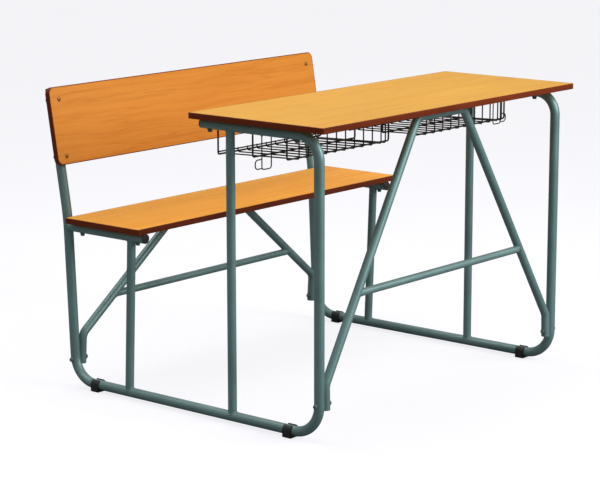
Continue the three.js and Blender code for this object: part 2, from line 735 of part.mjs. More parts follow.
// A bag hook: a long U of wire, its inner leg with a foot under the desk top and its outer leg welded under
// the desk rail, where a curl reaches out from it
function bagHook(sign) {
  const footHeight = wireTop - hookWireRadius;
  const innerX = sign * hookInnerX;
  const outerX = sign * frameHalf;
  const loop = wire([
    place(sign * (hookInnerX - WIRE_FOOT_LENGTH), hookY, footHeight),
    place(innerX, hookY, footHeight),
    place(innerX, hookY, hookBottom),
    place(outerX, hookY, hookBottom),
    place(outerX, hookY, hookWeldHeight),
  ], [WIRE_FOOT_BEND_RADIUS, HOOK_BEND_RADIUS, HOOK_BEND_RADIUS], hookWireRadius);
  const reachX = sign * (frameHalf + HOOK_CURL_REACH);
  const low = hookBottom + HOOK_CURL_RISE;
  const high = low + HOOK_CURL_HEIGHT;
  const curl = wire([
    place(outerX, hookY, low),
    place(reachX, hookY, low),
    place(reachX, hookY, high),
    place(outerX, hookY, high),
  ], HOOK_CURL_BEND_RADIUS, hookWireRadius);
  return joined([loop, curl]);
}

// Both baskets are the same basket, and the right one stands a step along. The hooks mirror each other.
function storage({ name, sign }, index) {
  const group = new THREE.Group();
  const wireBasket = piece(`${name}_wire_basket`, basket(), BLACK_WIRE);
  wireBasket.position.x = index * basketStep;
  group.add(wireBasket, piece(`${name}_bag_hook`, bagHook(sign), BLACK_WIRE));
  return group;
}

function deskTop() {
  const middle = (deskFront + deskBack) / 2;
  const holes = [
    ...railBoltHoles(deskBoltYs, middle),
    ...braceScrewHoles(DESK_BRACE_SCREW_HALF, deskBraceFoot, deskBraceLean, deskUnderside, middle),
  ];
  const core = boardCore(DESK_TOP_DEPTH, BOARD_CORNER_RADIUS);
  const band = edgeBand(DESK_TOP_DEPTH, BOARD_CORNER_RADIUS);
  const group = new THREE.Group();
  group.add(piece('desk_top_board', cut(core, holes), LAMINATE));
  group.add(piece('desk_top_edge_band', band, BAND_PLASTIC));
  group.position.set(0, middle, deskUnderside);
  return group;
}

function seat() {
  const middle = (seatFront + seatBack) / 2;
  const holes = [
    ...railBoltHoles(seatBoltYs, middle),
    ...braceScrewHoles(SEAT_BRACE_SCREW_HALF, seatBraceFoot, seatBraceLean, seatUnderside, middle),
  ];
  const core = boardCore(SEAT_DEPTH, BOARD_CORNER_RADIUS);
  const band = edgeBand(SEAT_DEPTH, BOARD_CORNER_RADIUS);
  const group = new THREE.Group();
  group.add(piece('seat_board', cut(core, holes), LAMINATE));
  group.add(piece('seat_edge_band', band, BAND_PLASTIC));
  group.position.set(0, middle, seatUnderside);
  return group;
}

// The backrest in the back posts' own frame: z up along the posts, y = 0 on their centre line
function backrest() {
  const face = -backrestStack;
  const middleRun = backrestTopRun - BACKREST_BREADTH / 2;
  const boardBack = face + BOARD_THICKNESS;
  const standing = (geometry) => geometry.rotateX(Math.PI / 2).translate(0, boardBack, middleRun);
  const behindPost = frameRadius + FIT_GAP;
  const boltLength = behindPost - face + FIT_GAP + NUT_HEIGHT + BOLT_END_LENGTH;
  const group = new THREE.Group();
  const throughHoles = [];
  for (const side of SIDES) {
    const x = side.sign * frameHalf;
    backrestBoltRuns.forEach((run, index) => {
      const name = `${side.name}_${BACKREST_BOLT_PLACES[index]}_backrest`;
      const bolt = headedPin(BACKREST_BOLT_HEAD_HEIGHT, boltLength).rotateX(-Math.PI / 2);
      throughHoles.push(boltHole(place(x, face - CUT_OVERRUN, run), place(x, 0, run)));
      group.add(piece(`${name}_bolt`, bolt.translate(x, face - FIT_GAP, run), DARK_STEEL));
      group.add(piece(`${name}_nut`, nut().rotateX(-Math.PI / 2).translate(x, behindPost, run), DARK_STEEL));
    });
  }
  const core = standing(boardCore(BACKREST_BREADTH, BACKREST_CORNER_RADIUS));
  const band = standing(edgeBand(BACKREST_BREADTH, BACKREST_CORNER_RADIUS));
  group.add(piece('backrest_board', cut(core, throughHoles), LAMINATE));
  group.add(piece('backrest_edge_band', band, BAND_PLASTIC));
  group.position.copy(postBend);
  group.rotation.x = -BACKREST_LEAN_ANGLE;
  return group;
}

const group = new THREE.Group();
group.add(...SIDES.map(sideFrame));
group.add(...SIDES.map(storage));
group.add(deskTop());
group.add(seat());
group.add(backrest());
group.add(brace(
  'desk_brace',
  deskBraceFoot,
  deskBraceLean,
  DESK_BRACE_KNEE_HEIGHT,
  DESK_BRACE_TOP_HALF,
  deskBraceTop.z,
  DESK_CROSSBAR_HEIGHT,
  DESK_BRACE_SCREW_HALF,
));
group.add(brace(
  'seat_brace',
  seatBraceFoot,
  seatBraceLean,
  SEAT_BRACE_KNEE_HEIGHT,
  SEAT_BRACE_TOP_HALF,
  seatBraceTop.z,
  SEAT_CROSSBAR_HEIGHT,
  SEAT_BRACE_SCREW_HALF,
));
group.add(...railBolts('desk_top_bolt', deskBoltYs, deskRailHeight));
group.add(...railBolts('seat_bolt', seatBoltYs, seatRailHeight));

// The origin is the middle of the footprint, on the floor
const extent = new THREE.Box3().setFromObject(group, true);
group.position.y = -(extent.min.y + extent.max.y) / 2;
group.position.z = -extent.min.z;

export default group;
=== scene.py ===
import math

import bmesh
import bpy
from mathutils import Matrix, Vector


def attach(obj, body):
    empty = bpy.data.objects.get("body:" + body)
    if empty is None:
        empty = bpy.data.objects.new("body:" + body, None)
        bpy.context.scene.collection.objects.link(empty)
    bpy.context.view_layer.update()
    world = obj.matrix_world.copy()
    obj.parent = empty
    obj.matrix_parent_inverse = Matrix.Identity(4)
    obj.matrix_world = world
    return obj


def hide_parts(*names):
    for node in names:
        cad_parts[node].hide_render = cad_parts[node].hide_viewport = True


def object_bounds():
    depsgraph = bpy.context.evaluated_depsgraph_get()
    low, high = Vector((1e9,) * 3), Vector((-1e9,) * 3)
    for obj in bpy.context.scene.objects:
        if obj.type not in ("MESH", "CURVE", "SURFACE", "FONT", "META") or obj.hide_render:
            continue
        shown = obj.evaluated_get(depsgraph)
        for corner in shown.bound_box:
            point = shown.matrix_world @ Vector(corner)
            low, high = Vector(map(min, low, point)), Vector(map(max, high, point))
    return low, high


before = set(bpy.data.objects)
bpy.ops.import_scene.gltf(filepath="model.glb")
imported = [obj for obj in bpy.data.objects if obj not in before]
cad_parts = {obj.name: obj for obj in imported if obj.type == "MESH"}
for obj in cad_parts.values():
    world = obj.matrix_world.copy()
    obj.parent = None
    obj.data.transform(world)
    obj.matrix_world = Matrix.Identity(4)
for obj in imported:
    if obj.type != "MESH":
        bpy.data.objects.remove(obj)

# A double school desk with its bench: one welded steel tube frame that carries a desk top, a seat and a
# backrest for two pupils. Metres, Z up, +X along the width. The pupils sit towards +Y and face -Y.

cad_low, cad_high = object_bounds()

# Side frames. Each is one 25 mm steel tube bent cold into the desk rail, the front leg, the floor rail and
# the back post. It is sprayed a grey-green metallic paint, rubbed where shoes and bags reach it.

# Round stock is given by its radius, and a setback is measured from the front legs' centre line. Pieces
# that are welded, glued or clipped together are drawn a small gap apart.
DESK_TOP_HEIGHT = 0.760
BOARD = 0.015
GAP = 0.0003
FRAME_X = 0.493
FRAME_TUBE = 0.0125
TUBE_WALL = 0.0015
CLIP_PAD = 0.004
DESK_FRONT_OVERHANG = 0.037
DESK_RAIL_LENGTH = 0.363
FRONT_LEG_Y = cad_low.y + DESK_FRONT_OVERHANG
DESK_RAIL_END_Y = FRONT_LEG_Y + DESK_RAIL_LENGTH
DESK_UNDERSIDE = DESK_TOP_HEIGHT - BOARD
DESK_RAIL_Z = DESK_UNDERSIDE - GAP - FRAME_TUBE
FLOOR_RAIL_Z = CLIP_PAD + GAP + FRAME_TUBE
TOP_BEND = 0.058
FRONT_FOOT_BEND = 0.075
REAR_FOOT_BEND = 0.068
POST_BEND = 0.600
POST_BEND_SETBACK = 0.8345
POST_BEND_Y = FRONT_LEG_Y + POST_BEND_SETBACK
POST_BEND_Z = 0.445
POST_LEAN = math.radians(2.5)
BACKREST_LEAN = math.radians(9.5)
BACKREST_LOW_EDGE = 0.580
BACKREST_BREADTH = 0.200
BACKREST_STANDOFF = FRAME_TUBE + GAP
BACKREST_BOTTOM_RISE = BACKREST_LOW_EDGE - POST_BEND_Z - BACKREST_STANDOFF * math.sin(BACKREST_LEAN)
BACKREST_BOTTOM_RUN = BACKREST_BOTTOM_RISE / math.cos(BACKREST_LEAN)
BACKREST_TOP_RUN = BACKREST_BOTTOM_RUN + BACKREST_BREADTH
BACKREST_MIDDLE_RUN = (BACKREST_BOTTOM_RUN + BACKREST_TOP_RUN) / 2
POST_TOP_DROP = 0.005
POST_TOP_RUN = BACKREST_TOP_RUN - POST_TOP_DROP
FRAME_SIDES = 48
MOUTH_DEPTH = 0.020
RIM_EASE = 0.0003
BEND_STEP = math.radians(5)
FEWEST_BEND_STEPS = 3
PRESSED_CREASE = math.radians(38)

PAINT_BASE = (0.150, 0.262, 0.258, 1.0)
PAINT_LIGHT = (0.195, 0.330, 0.325, 1.0)
PAINT_FLAKE = (0.36, 0.48, 0.49, 1.0)
BARE_STEEL = (0.30, 0.29, 0.27, 1.0)
FRAME_DUST = (0.42, 0.41, 0.38, 1.0)


def post_line(z):
    """Where the lower back post's centre line stands at a height."""
    return POST_BEND_Y - (POST_BEND_Z - z) * math.tan(POST_LEAN)


def on_back_post(x, run, behind=0.0):
    """A place by the leaning upper post: run along it from its bend, and behind its centre line."""
    y = POST_BEND_Y + run * math.sin(BACKREST_LEAN) + behind * math.cos(BACKREST_LEAN)
    z = POST_BEND_Z + run * math.cos(BACKREST_LEAN) - behind * math.sin(BACKREST_LEAN)
    return Vector((x, y, z))


def bent(corners, radii, step=BEND_STEP):
    """The centre line of a bent bar: straight runs, with each inner corner rounded to its bend radius."""
    line = [corners[0]]
    for before, corner, after, radius in zip(corners, corners[1:], corners[2:], radii):
        back = (before - corner).normalized()
        ahead = (after - corner).normalized()
        turn = math.pi - back.angle(ahead)
        start = corner + back * radius * math.tan(turn / 2)
        centre = corner + (back + ahead).normalized() * radius / math.cos(turn / 2)
        outward = (start - centre).normalized()
        steps = max(FEWEST_BEND_STEPS, round(turn / step))
        for count in range(steps + 1):
            angle = turn * count / steps
            line.append(centre + outward * radius * math.cos(angle) - back * radius * math.sin(angle))
    line.append(corners[-1])
    return line


def ring_frames(line):
    """The line's own direction and the two across it at each of its points, carried along without twist."""
    frames = []
    side = None
    for index, point in enumerate(line):
        before = line[max(index - 1, 0)]
        after = line[min(index + 1, len(line) - 1)]
        arriving = (point - before).normalized()
        leaving = (after - point).normalized()
        along = (arriving + leaving).normalized()
        if side is None:
            side = along.orthogonal().normalized()
        side = (side - along * side.dot(along)).normalized()
        frames.append((along, side, along.cross(side)))
    return frames


def loft(shell, rings, closed=False):
    """Skins rings of vertices with quads. An open loft is capped at both ends."""
    pairs = list(zip(rings, rings[1:]))
    if closed:
        pairs.append((rings[-1], rings[0]))
    for first, second in pairs:
        count = len(first)
        for index in range(count):
            after = (index + 1) % count
            shell.faces.new((first[index], first[after], second[after], second[index]))
    if not closed:
        shell.faces.new(list(reversed(rings[0])))
        shell.faces.new(rings[-1])


def finished_mesh(name, shell, crease=PRESSED_CREASE):
    """Turns built faces into an object with smooth shading that breaks at its real edges."""
    bmesh.ops.recalc_face_normals(shell, faces=shell.faces)
    mesh = bpy.data.meshes.new(name)
    shell.to_mesh(mesh)
    shell.free()
    mesh.shade_smooth()
    mesh.set_sharp_from_angle(angle=crease)
    obj = bpy.data.objects.new(name, mesh)
    bpy.context.scene.collection.objects.link(obj)
    return obj


def bar_shell(shell, line, radius, sides, start_rings, end_rings):
    """Adds a round bar along a line. The end rings are (radius, distance back from the end) pairs."""
    frames = ring_frames(line)
    stations = []
    for ring_radius, setback in start_rings:
        stations.append((line[0] + frames[0][0] * setback, frames[0], ring_radius))
    for point, turned_frame in zip(line[1:-1], frames[1:-1]):
        stations.append((point, turned_frame, radius))
    for ring_radius, setback in reversed(end_rings):
        stations.append((line[-1] - frames[-1][0] * setback, frames[-1], ring_radius))
    rings = []
    for point, (_, side, up), ring_radius in stations:
        ring = []
        for index in range(sides):
            angle = 2 * math.pi * index / sides
            offset = side * math.cos(angle) + up * math.sin(angle)
            ring.append(shell.verts.new(point + offset * ring_radius))
        rings.append(ring)
    loft(shell, rings)


def cut_end(radius):
    """The rings of a tube's cut end: the mouth inside, then the rim with its two softened edges."""
    inner = radius - TUBE_WALL
    return [
        (inner, MOUTH_DEPTH),
        (inner, RIM_EASE),
        (inner + RIM_EASE, 0.0),
        (radius - RIM_EASE, 0.0),
        (radius, RIM_EASE),
    ]


def tube(name, line, radius, sides):
    shell = bmesh.new()
    bar_shell(shell, line, radius, sides, cut_end(radius), cut_end(radius))
    return finished_mesh(name, shell)


def side_frame_line(x):
    return bent([
        Vector((x, DESK_RAIL_END_Y, DESK_RAIL_Z)),
        Vector((x, FRONT_LEG_Y, DESK_RAIL_Z)),
        Vector((x, FRONT_LEG_Y, FLOOR_RAIL_Z)),
        Vector((x, post_line(FLOOR_RAIL_Z), FLOOR_RAIL_Z)),
        Vector((x, POST_BEND_Y, POST_BEND_Z)),
        on_back_post(x, POST_TOP_RUN),
    ], [TOP_BEND, FRONT_FOOT_BEND, REAR_FOOT_BEND, POST_BEND])


def effect(name, inputs, outputs):
    """A new shader node group with named inputs (name, kind, value) and outputs (name, kind)."""
    tree = bpy.data.node_groups.new(name, "ShaderNodeTree")
    for label, kind, value in inputs:
        socket = tree.interface.new_socket(label, in_out="INPUT", socket_type=kind)
        socket.default_value = value
    for label, kind in outputs:
        tree.interface.new_socket(label, in_out="OUTPUT", socket_type=kind)
    return tree, tree.nodes.new("NodeGroupInput"), tree.nodes.new("NodeGroupOutput")


def node(tree, kind, links=None, **settings):
    """Adds a node. Settings set its properties, and links its inputs, each to a value or a socket."""
    made = tree.nodes.new(kind)
    for key, value in settings.items():
        setattr(made, key, value)
    for key, value in (links or {}).items():
        if isinstance(value, bpy.types.NodeSocket):
            tree.links.new(value, made.inputs[key])
        else:
            made.inputs[key].default_value = value
    return made


def ramp(tree, source, stops):
    """A colour ramp over (place, colour) stops."""
    made = node(tree, "ShaderNodeValToRGB", {"Fac": source})
    band = made.color_ramp
    while len(band.elements) < len(stops):
        band.elements.new(0.5)
    for element, (where, colour) in zip(band.elements, stops):
        element.position = where
        element.color = colour
    return made.outputs["Color"]


def noise(tree, scale, detail, roughness=0.5):
    """Cloudy variation over a surface. The scale gives its marks to a metre along x, y and z."""
    place = node(tree, "ShaderNodeTexCoord")
    stretch = node(tree, "ShaderNodeMapping", {"Vector": place.outputs["Object"], "Scale": scale})
    return node(tree, "ShaderNodeTexNoise", {
        "Vector": stretch.outputs["Vector"], "Scale": 1.0, "Detail": detail,
        "Roughness": roughness}).outputs["Fac"]


def placed(tree, group, values):
    """A node group in a material, with its own values."""
    return node(tree, "ShaderNodeGroup", values, node_tree=group)


# Small scrapes and chips where a finish has been knocked. The noise has to pass a limit to be a chip, and
# the limit falls as Amount grows.
CHIP_LIMIT = 0.56
CHIP_LIMIT_FALL = -0.2
CHIP_FULL = 0.60
CHIP_SINK = -1.2

chips, chips_in, chips_out = effect(
    "knocks_and_chips",
    [("Scale", "NodeSocketFloat", 60.0), ("Amount", "NodeSocketFloat", 0.3)],
    [("Mask", "NodeSocketFloat")])
chip_place = node(chips, "ShaderNodeTexCoord")
chip_patch = node(chips, "ShaderNodeTexNoise", {
    "Vector": chip_place.outputs["Object"], "Scale": 7.0, "Detail": 3.0, "Roughness": 0.6})
chip_grain = node(chips, "ShaderNodeTexNoise", {
    "Vector": chip_place.outputs["Object"], "Scale": chips_in.outputs["Scale"], "Detail": 6.0,
    "Roughness": 0.72, "Distortion": 0.6})
chip_sum = node(chips, "ShaderNodeMath", {0: chip_patch.outputs["Fac"], 1: chip_grain.outputs["Fac"]},
                operation="MULTIPLY")
chip_limit = node(chips, "ShaderNodeMath", {
    0: chips_in.outputs["Amount"], 1: CHIP_LIMIT_FALL, 2: CHIP_LIMIT}, operation="MULTIPLY_ADD")
chip_cut = node(chips, "ShaderNodeMapRange", {
    "Value": chip_sum.outputs["Value"], "From Min": chip_limit.outputs["Value"], "From Max": CHIP_FULL})
chips.links.new(chip_cut.outputs["Result"], chips_out.inputs["Mask"])

# Dust that settles on what faces up
dust, dust_in, dust_out = effect(
    "settled_dust",
    [("Amount", "NodeSocketFloat", 0.2)],
    [("Mask", "NodeSocketFloat")])
dust_facing = node(dust, "ShaderNodeNewGeometry")
dust_up = node(dust, "ShaderNodeSeparateXYZ", {"Vector": dust_facing.outputs["Normal"]})
dust_place = node(dust, "ShaderNodeTexCoord")
dust_cloud = node(dust, "ShaderNodeTexNoise", {
    "Vector": dust_place.outputs["Object"], "Scale": 22.0, "Detail": 5.0, "Roughness": 0.65})
dust_top = node(dust, "ShaderNodeMapRange", {
    "Value": dust_up.outputs["Z"], "From Min": 0.35, "From Max": 1.0})
dust_mix = node(dust, "ShaderNodeMath", {0: dust_top.outputs["Result"], 1: dust_cloud.outputs["Fac"]},
                operation="MULTIPLY")
dust_share = node(dust, "ShaderNodeMath", {0: dust_mix.outputs["Value"], 1: dust_in.outputs["Amount"]},
                  operation="MULTIPLY")
dust.links.new(dust_share.outputs["Value"], dust_out.inputs["Mask"])


def surface(name, **fixed):
    """A new material with its constant values set on the shader's own sockets."""
    made = bpy.data.materials.new(name)
    made.use_nodes = True
    tree = made.node_tree
    shader = tree.nodes["Principled BSDF"]
    for label, value in fixed.items():
        shader.inputs[label.replace("_", " ")].default_value = value
    return made, tree, shader


# Where the mix node keeps its colour sockets, behind those for plain values
MIX_SHARE = 0
MIX_FIRST = 6
MIX_SECOND = 7
MIX_RESULT = 2


def mixed(tree, share, first, second):
    """One colour turning into another by a mask."""
    blend = node(tree, "ShaderNodeMix", {MIX_SHARE: share, MIX_FIRST: first, MIX_SECOND: second},
                 data_type="RGBA")
    return blend.outputs[MIX_RESULT]


def spread(tree, value, low, high, start=0.0, stop=1.0):
    """A value that varies from start to stop, brought between low and high."""
    return node(tree, "ShaderNodeMapRange", {
        "Value": value, "From Min": start, "From Max": stop, "To Min": low, "To Max": high}).outputs["Result"]


def bumped(tree, shader, height, distance, strength):
    bump = node(tree, "ShaderNodeBump", {"Height": height, "Distance": distance, "Strength": strength})
    tree.links.new(bump.outputs["Normal"], shader.inputs["Normal"])


painted_steel, tree, shader = surface(
    "painted_steel", Coat_Weight=0.05, Coat_Roughness=0.35, Specular_IOR_Level=0.5)
cloud = noise(tree, (9.0, 9.0, 9.0), detail=4.0, roughness=0.55)
speckle = noise(tree, (900.0, 900.0, 900.0), detail=2.0)
orange_peel = noise(tree, (420.0, 420.0, 420.0), detail=2.0)
knocks = placed(tree, chips, {"Scale": 85.0, "Amount": 0.35}).outputs["Mask"]
dusty = placed(tree, dust, {"Amount": 0.16}).outputs["Mask"]
paint = ramp(tree, cloud, [(0.3, PAINT_BASE), (0.7, PAINT_LIGHT)])
flaked = mixed(tree, spread(tree, speckle, low=0.0, high=0.35, start=0.52, stop=0.75), paint, PAINT_FLAKE)
worn = mixed(tree, knocks, flaked, BARE_STEEL)
tree.links.new(mixed(tree, dusty, worn, FRAME_DUST), shader.inputs["Base Color"])
tree.links.new(spread(tree, knocks, low=0.42, high=0.9), shader.inputs["Metallic"])
tree.links.new(spread(tree, cloud, low=0.42, high=0.53, start=0.3, stop=0.7), shader.inputs["Roughness"])
chipped = node(tree, "ShaderNodeMath", {0: knocks, 1: CHIP_SINK, 2: orange_peel}, operation="MULTIPLY_ADD")
bumped(tree, shader, chipped.outputs["Value"], distance=0.00012, strength=0.6)


def fitted(piece, finish, slot, *nodes):
    """Gives a finished piece its material and its body, and hides the CAD nodes that it stands for."""
    piece.data.materials.append(finish)
    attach(piece, "root")
    if nodes:
        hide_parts(*nodes)
    return piece


SIDES = (("left", -1), ("right", 1))
for side, sign in SIDES:
    frame_tube = tube(f"{side}_bent_side_frame", side_frame_line(sign * FRAME_X), FRAME_TUBE, FRAME_SIDES)
    fitted(frame_tube, painted_steel, "painted_tube", f"{side}_side_frame_tube")

# Uprights and seat rails. Straight tubes, 22 mm and 25 mm, with their ends notched to sit round the bent
# tube and welded there all round before painting. The seat upright leans a little.

SEAT_HEIGHT = 0.450
SEAT_UNDERSIDE = SEAT_HEIGHT - BOARD
UPRIGHT_TUBE = 0.011
UPRIGHT_SIDES = 40
DESK_UPRIGHT_SETBACK = 0.274
DESK_UPRIGHT_Y = FRONT_LEG_Y + DESK_UPRIGHT_SETBACK
SEAT_RAIL_SETBACK = 0.560
SEAT_RAIL_FRONT_Y = FRONT_LEG_Y + SEAT_RAIL_SETBACK
SEAT_RAIL_Z = SEAT_UNDERSIDE - GAP - FRAME_TUBE
SEAT_UPRIGHT_SETBACK = 0.608
SEAT_UPRIGHT_LEAN = math.radians(2.3)
SEAT_UPRIGHT_TOP_Y = FRONT_LEG_Y + SEAT_UPRIGHT_SETBACK
SEAT_UPRIGHT_FOOT_Y = SEAT_UPRIGHT_TOP_Y + (SEAT_RAIL_Z - FLOOR_RAIL_Z) * math.tan(SEAT_UPRIGHT_LEAN)
HIDDEN_END = 0.004
WELD_BEAD = 0.0016
WELD_RIPPLE_SHARE = 0.14
WELD_RIPPLE_STEPS = 4
WELD_STEPS = 72
WELD_SIDES = 8
WELD_CREASE = math.radians(80)
EQUAL_TUBE_EASE = 0.0002
UP = Vector((0.0, 0.0, 1.0))
BACK = Vector((0.0, 1.0, 0.0))


def meeting_point(start, along, main_at, main_along, main_radius):
    """Where a line along a branch tube's skin comes to the skin of the main tube."""
    gap = start - main_at
    across_gap = gap - main_along * gap.dot(main_along)
    across_way = along - main_along * along.dot(main_along)
    square = across_way.length_squared
    slope = across_gap.dot(across_way)
    excess = across_gap.length_squared - main_radius ** 2
    return start + along * (-slope - math.sqrt(max(slope * slope - square * excess, 0.0))) / square


def weld_bead(name, branch_at, branch_along, branch_radius, main_at, main_along, main_radius):
    """The rippled weld where a tube's end meets another tube, laid along the line where they cross."""
    branch_along = branch_along.normalized()
    main_along = main_along.normalized()
    side = branch_along.orthogonal().normalized()
    up = branch_along.cross(side)
    line = []
    for index in range(WELD_STEPS):
        angle = 2 * math.pi * index / WELD_STEPS
        start = branch_at + (side * math.cos(angle) + up * math.sin(angle)) * (branch_radius + GAP)
        line.append(meeting_point(start, branch_along, main_at, main_along, main_radius))
    shell = bmesh.new()
    rings = []
    for index, point in enumerate(line):
        along = (line[(index + 1) % WELD_STEPS] - line[index - 1]).normalized()
        outward = point - branch_at
        outward = (outward - branch_along * outward.dot(branch_along)).normalized()
        outward = (outward - along * outward.dot(along)).normalized()
        third = along.cross(outward)
        size = WELD_BEAD * (1 + WELD_RIPPLE_SHARE * math.sin(2 * math.pi * index / WELD_RIPPLE_STEPS))
        ring = []
        for corner in range(WELD_SIDES):
            angle = 2 * math.pi * corner / WELD_SIDES
            ring.append(shell.verts.new(point + (outward * math.cos(angle) + third * math.sin(angle)) * size))
        rings.append(ring)
    loft(shell, rings, closed=True)
    return fitted(finished_mesh(name, shell, WELD_CREASE), painted_steel, "painted_tube")


def welded_tube(name, start, stop, radius, sides):
    """A straight tube between the centre lines of two others, its ends hidden inside them."""
    inward = (stop - start).normalized() * HIDDEN_END
    return tube(name, [start + inward, (start + stop) / 2, stop - inward], radius, sides)


def upright(name, foot, head):
    """An upright between two rails, welded to both."""
    lean = (head - foot).normalized()
    fitted(welded_tube(f"{name}_tube", foot, head, UPRIGHT_TUBE, UPRIGHT_SIDES),
           painted_steel, "painted_tube", name)
    weld_bead(f"{name}_foot_weld", head, -lean, UPRIGHT_TUBE, foot, BACK, FRAME_TUBE)
    weld_bead(f"{name}_head_weld", foot, lean, UPRIGHT_TUBE, head, BACK, FRAME_TUBE)


for side, sign in SIDES:
    x = sign * FRAME_X
    upright(f"{side}_desk_upright",
            Vector((x, DESK_UPRIGHT_Y, FLOOR_RAIL_Z)), Vector((x, DESK_UPRIGHT_Y, DESK_RAIL_Z)))
    upright(f"{side}_seat_upright",
            Vector((x, SEAT_UPRIGHT_FOOT_Y, FLOOR_RAIL_Z)), Vector((x, SEAT_UPRIGHT_TOP_Y, SEAT_RAIL_Z)))

    front = Vector((x, SEAT_RAIL_FRONT_Y, SEAT_RAIL_Z))
    post = Vector((x, post_line(SEAT_RAIL_Z), SEAT_RAIL_Z))
    rail_line = [front, (front + post) / 2, post - BACK * HIDDEN_END]
    rail = tube(f"{side}_seat_rail_tube", rail_line, FRAME_TUBE, FRAME_SIDES)
    fitted(rail, painted_steel, "painted_tube", f"{side}_seat_rail")
    post_along = Vector((0.0, math.sin(POST_LEAN), math.cos(POST_LEAN)))
    weld_bead(f"{side}_seat_rail_weld", front, BACK, FRAME_TUBE, post, post_along,
              FRAME_TUBE + EQUAL_TUBE_EASE)

# Braces. Each is one 22 mm tube bent to an A: bolted through its feet to the frames, screwed up under a
# board at its top, with a thinner crossbar welded between its slopes. The two lean a little to each other.

BRACE_TUBE = 0.011
BRACE_SIDES = 40
BRACE_BEND = 0.030
BRACE_FOOT_X = FRAME_X - FRAME_TUBE - GAP - BRACE_TUBE
BRACE_BOLT_RISE = 0.015
CROSSBAR = 0.0095
CROSSBAR_SIDES = 36
DESK_BRACE_BOLT_Z = 0.092
DESK_BRACE_TOP_SETBACK = 0.015
SEAT_BRACE_BOLT_Z = 0.072
SEAT_BRACE_TOP_SETBACK = 0.797
BRACES = {
    "desk_brace": dict(
        bolt=Vector((0.0, FRONT_LEG_Y, DESK_BRACE_BOLT_Z)),
        top=Vector((0.0, FRONT_LEG_Y + DESK_BRACE_TOP_SETBACK, DESK_UNDERSIDE - GAP - BRACE_TUBE)),
        knee=0.137, top_half=0.096, bar=0.337, screw=0.040),
    "seat_brace": dict(
        bolt=Vector((0.0, post_line(SEAT_BRACE_BOLT_Z), SEAT_BRACE_BOLT_Z)),
        top=Vector((0.0, FRONT_LEG_Y + SEAT_BRACE_TOP_SETBACK, SEAT_UNDERSIDE - GAP - BRACE_TUBE)),
        knee=0.135, top_half=0.104, bar=0.223, screw=0.056),
}


def brace_lean(brace):
    return math.atan2(brace["bolt"].y - brace["top"].y, brace["top"].z - brace["bolt"].z)


def brace_frame(brace):
    """The leaning frame of a brace: x across, z up from the bolts in its feet."""
    return Matrix.Translation(brace["bolt"]) @ Matrix.Rotation(brace_lean(brace), 4, "X")


def brace_rise(brace, height):
    return (height - brace["bolt"].z) / math.cos(brace_lean(brace))


for name, brace in BRACES.items():
    stand = brace_frame(brace)
    knee = brace_rise(brace, brace["knee"])
    top = brace_rise(brace, brace["top"].z)
    bar = brace_rise(brace, brace["bar"])
    corners = [(-BRACE_FOOT_X, -BRACE_BOLT_RISE), (-BRACE_FOOT_X, knee), (-brace["top_half"], top),
               (brace["top_half"], top), (BRACE_FOOT_X, knee), (BRACE_FOOT_X, -BRACE_BOLT_RISE)]
    line = bent([stand @ Vector((x, 0.0, z)) for x, z in corners], [BRACE_BEND] * 4)
    brace_tube = tube(f"{name}_bent_tube", line, BRACE_TUBE, BRACE_SIDES)
    fitted(brace_tube, painted_steel, "painted_tube", f"{name}_tube")

    reach = BRACE_FOOT_X + (brace["top_half"] - BRACE_FOOT_X) * (bar - knee) / (top - knee)
    ends = [stand @ Vector((sign * reach, 0.0, bar)) for _, sign in SIDES]
    crossbar = welded_tube(f"{name}_crossbar_tube", ends[0], ends[1], CROSSBAR, CROSSBAR_SIDES)
    fitted(crossbar, painted_steel, "painted_tube", f"{name}_crossbar")
    for index, (side, sign) in enumerate(SIDES):
        slope_foot = stand @ Vector((sign * BRACE_FOOT_X, 0.0, knee))
        slope_head = stand @ Vector((sign * brace["top_half"], 0.0, top))
        weld_bead(f"{side}_{name}_crossbar_weld", ends[1 - index], ends[index] - ends[1 - index], CROSSBAR,
                  slope_foot, slope_head - slope_foot, BRACE_TUBE)

# Boards. Desk top, seat and backrest: 15 mm chipboard faced both sides with a beech-patterned laminate.
# The grain runs along each board, and the faces are satin, a little polished by use.

BOARD_LENGTH = 1.050
DESK_DEPTH = 0.420
SEAT_DEPTH = 0.260
SEAT_MIDDLE_SETBACK = 0.684
CORNER = 0.006
BACKREST_CORNER = 0.018
CORNER_STEPS = 10
BAND = 0.002
CORE_EASE = 0.0003
BOARD_CREASE = math.radians(30)

# What bears on another piece is drawn a hair away from it, so that no two faces fall together
HAIR = 0.0001


def board_ring(breadth, corner, inset):
    """The outline of a board with rounded corners, drawn in from its edge by inset."""
    radius = corner - inset
    x = BOARD_LENGTH / 2 - corner
    y = breadth / 2 - corner
    points = []
    for quarter, (centre_x, centre_y) in enumerate(((x, -y), (x, y), (-x, y), (-x, -y))):
        for step in range(CORNER_STEPS + 1):
            angle = (quarter - 1 + step / CORNER_STEPS) * math.pi / 2
            points.append((centre_x + radius * math.cos(angle), centre_y + radius * math.sin(angle)))
    return points


def stacked(name, breadth, corner, profile, closed):
    """A board piece whose edge follows a profile of (inset, height) pairs."""
    shell = bmesh.new()
    rings = []
    for inset, height in profile:
        rings.append([shell.verts.new((x, y, height)) for x, y in board_ring(breadth, corner, inset)])
    loft(shell, rings, closed)
    return finished_mesh(name, shell, BOARD_CREASE)


# The laminate's printed grain: long soft streaks, broad tonal bands, thin wandering lines and short dark
# pores. Each scale gives its marks to a metre along the board, across it and through it, and all of them
# wander a few centimetres across the board.
STREAK_SCALE = (2.6, 75.0, 75.0)
BROAD_SCALE = (1.1, 13.0, 13.0)
LINE_SCALE = (1.5, 36.0, 36.0)
PORE_SCALE = (85.0, 1500.0, 1500.0)
WANDER = (0.0, 0.055, 0.0)

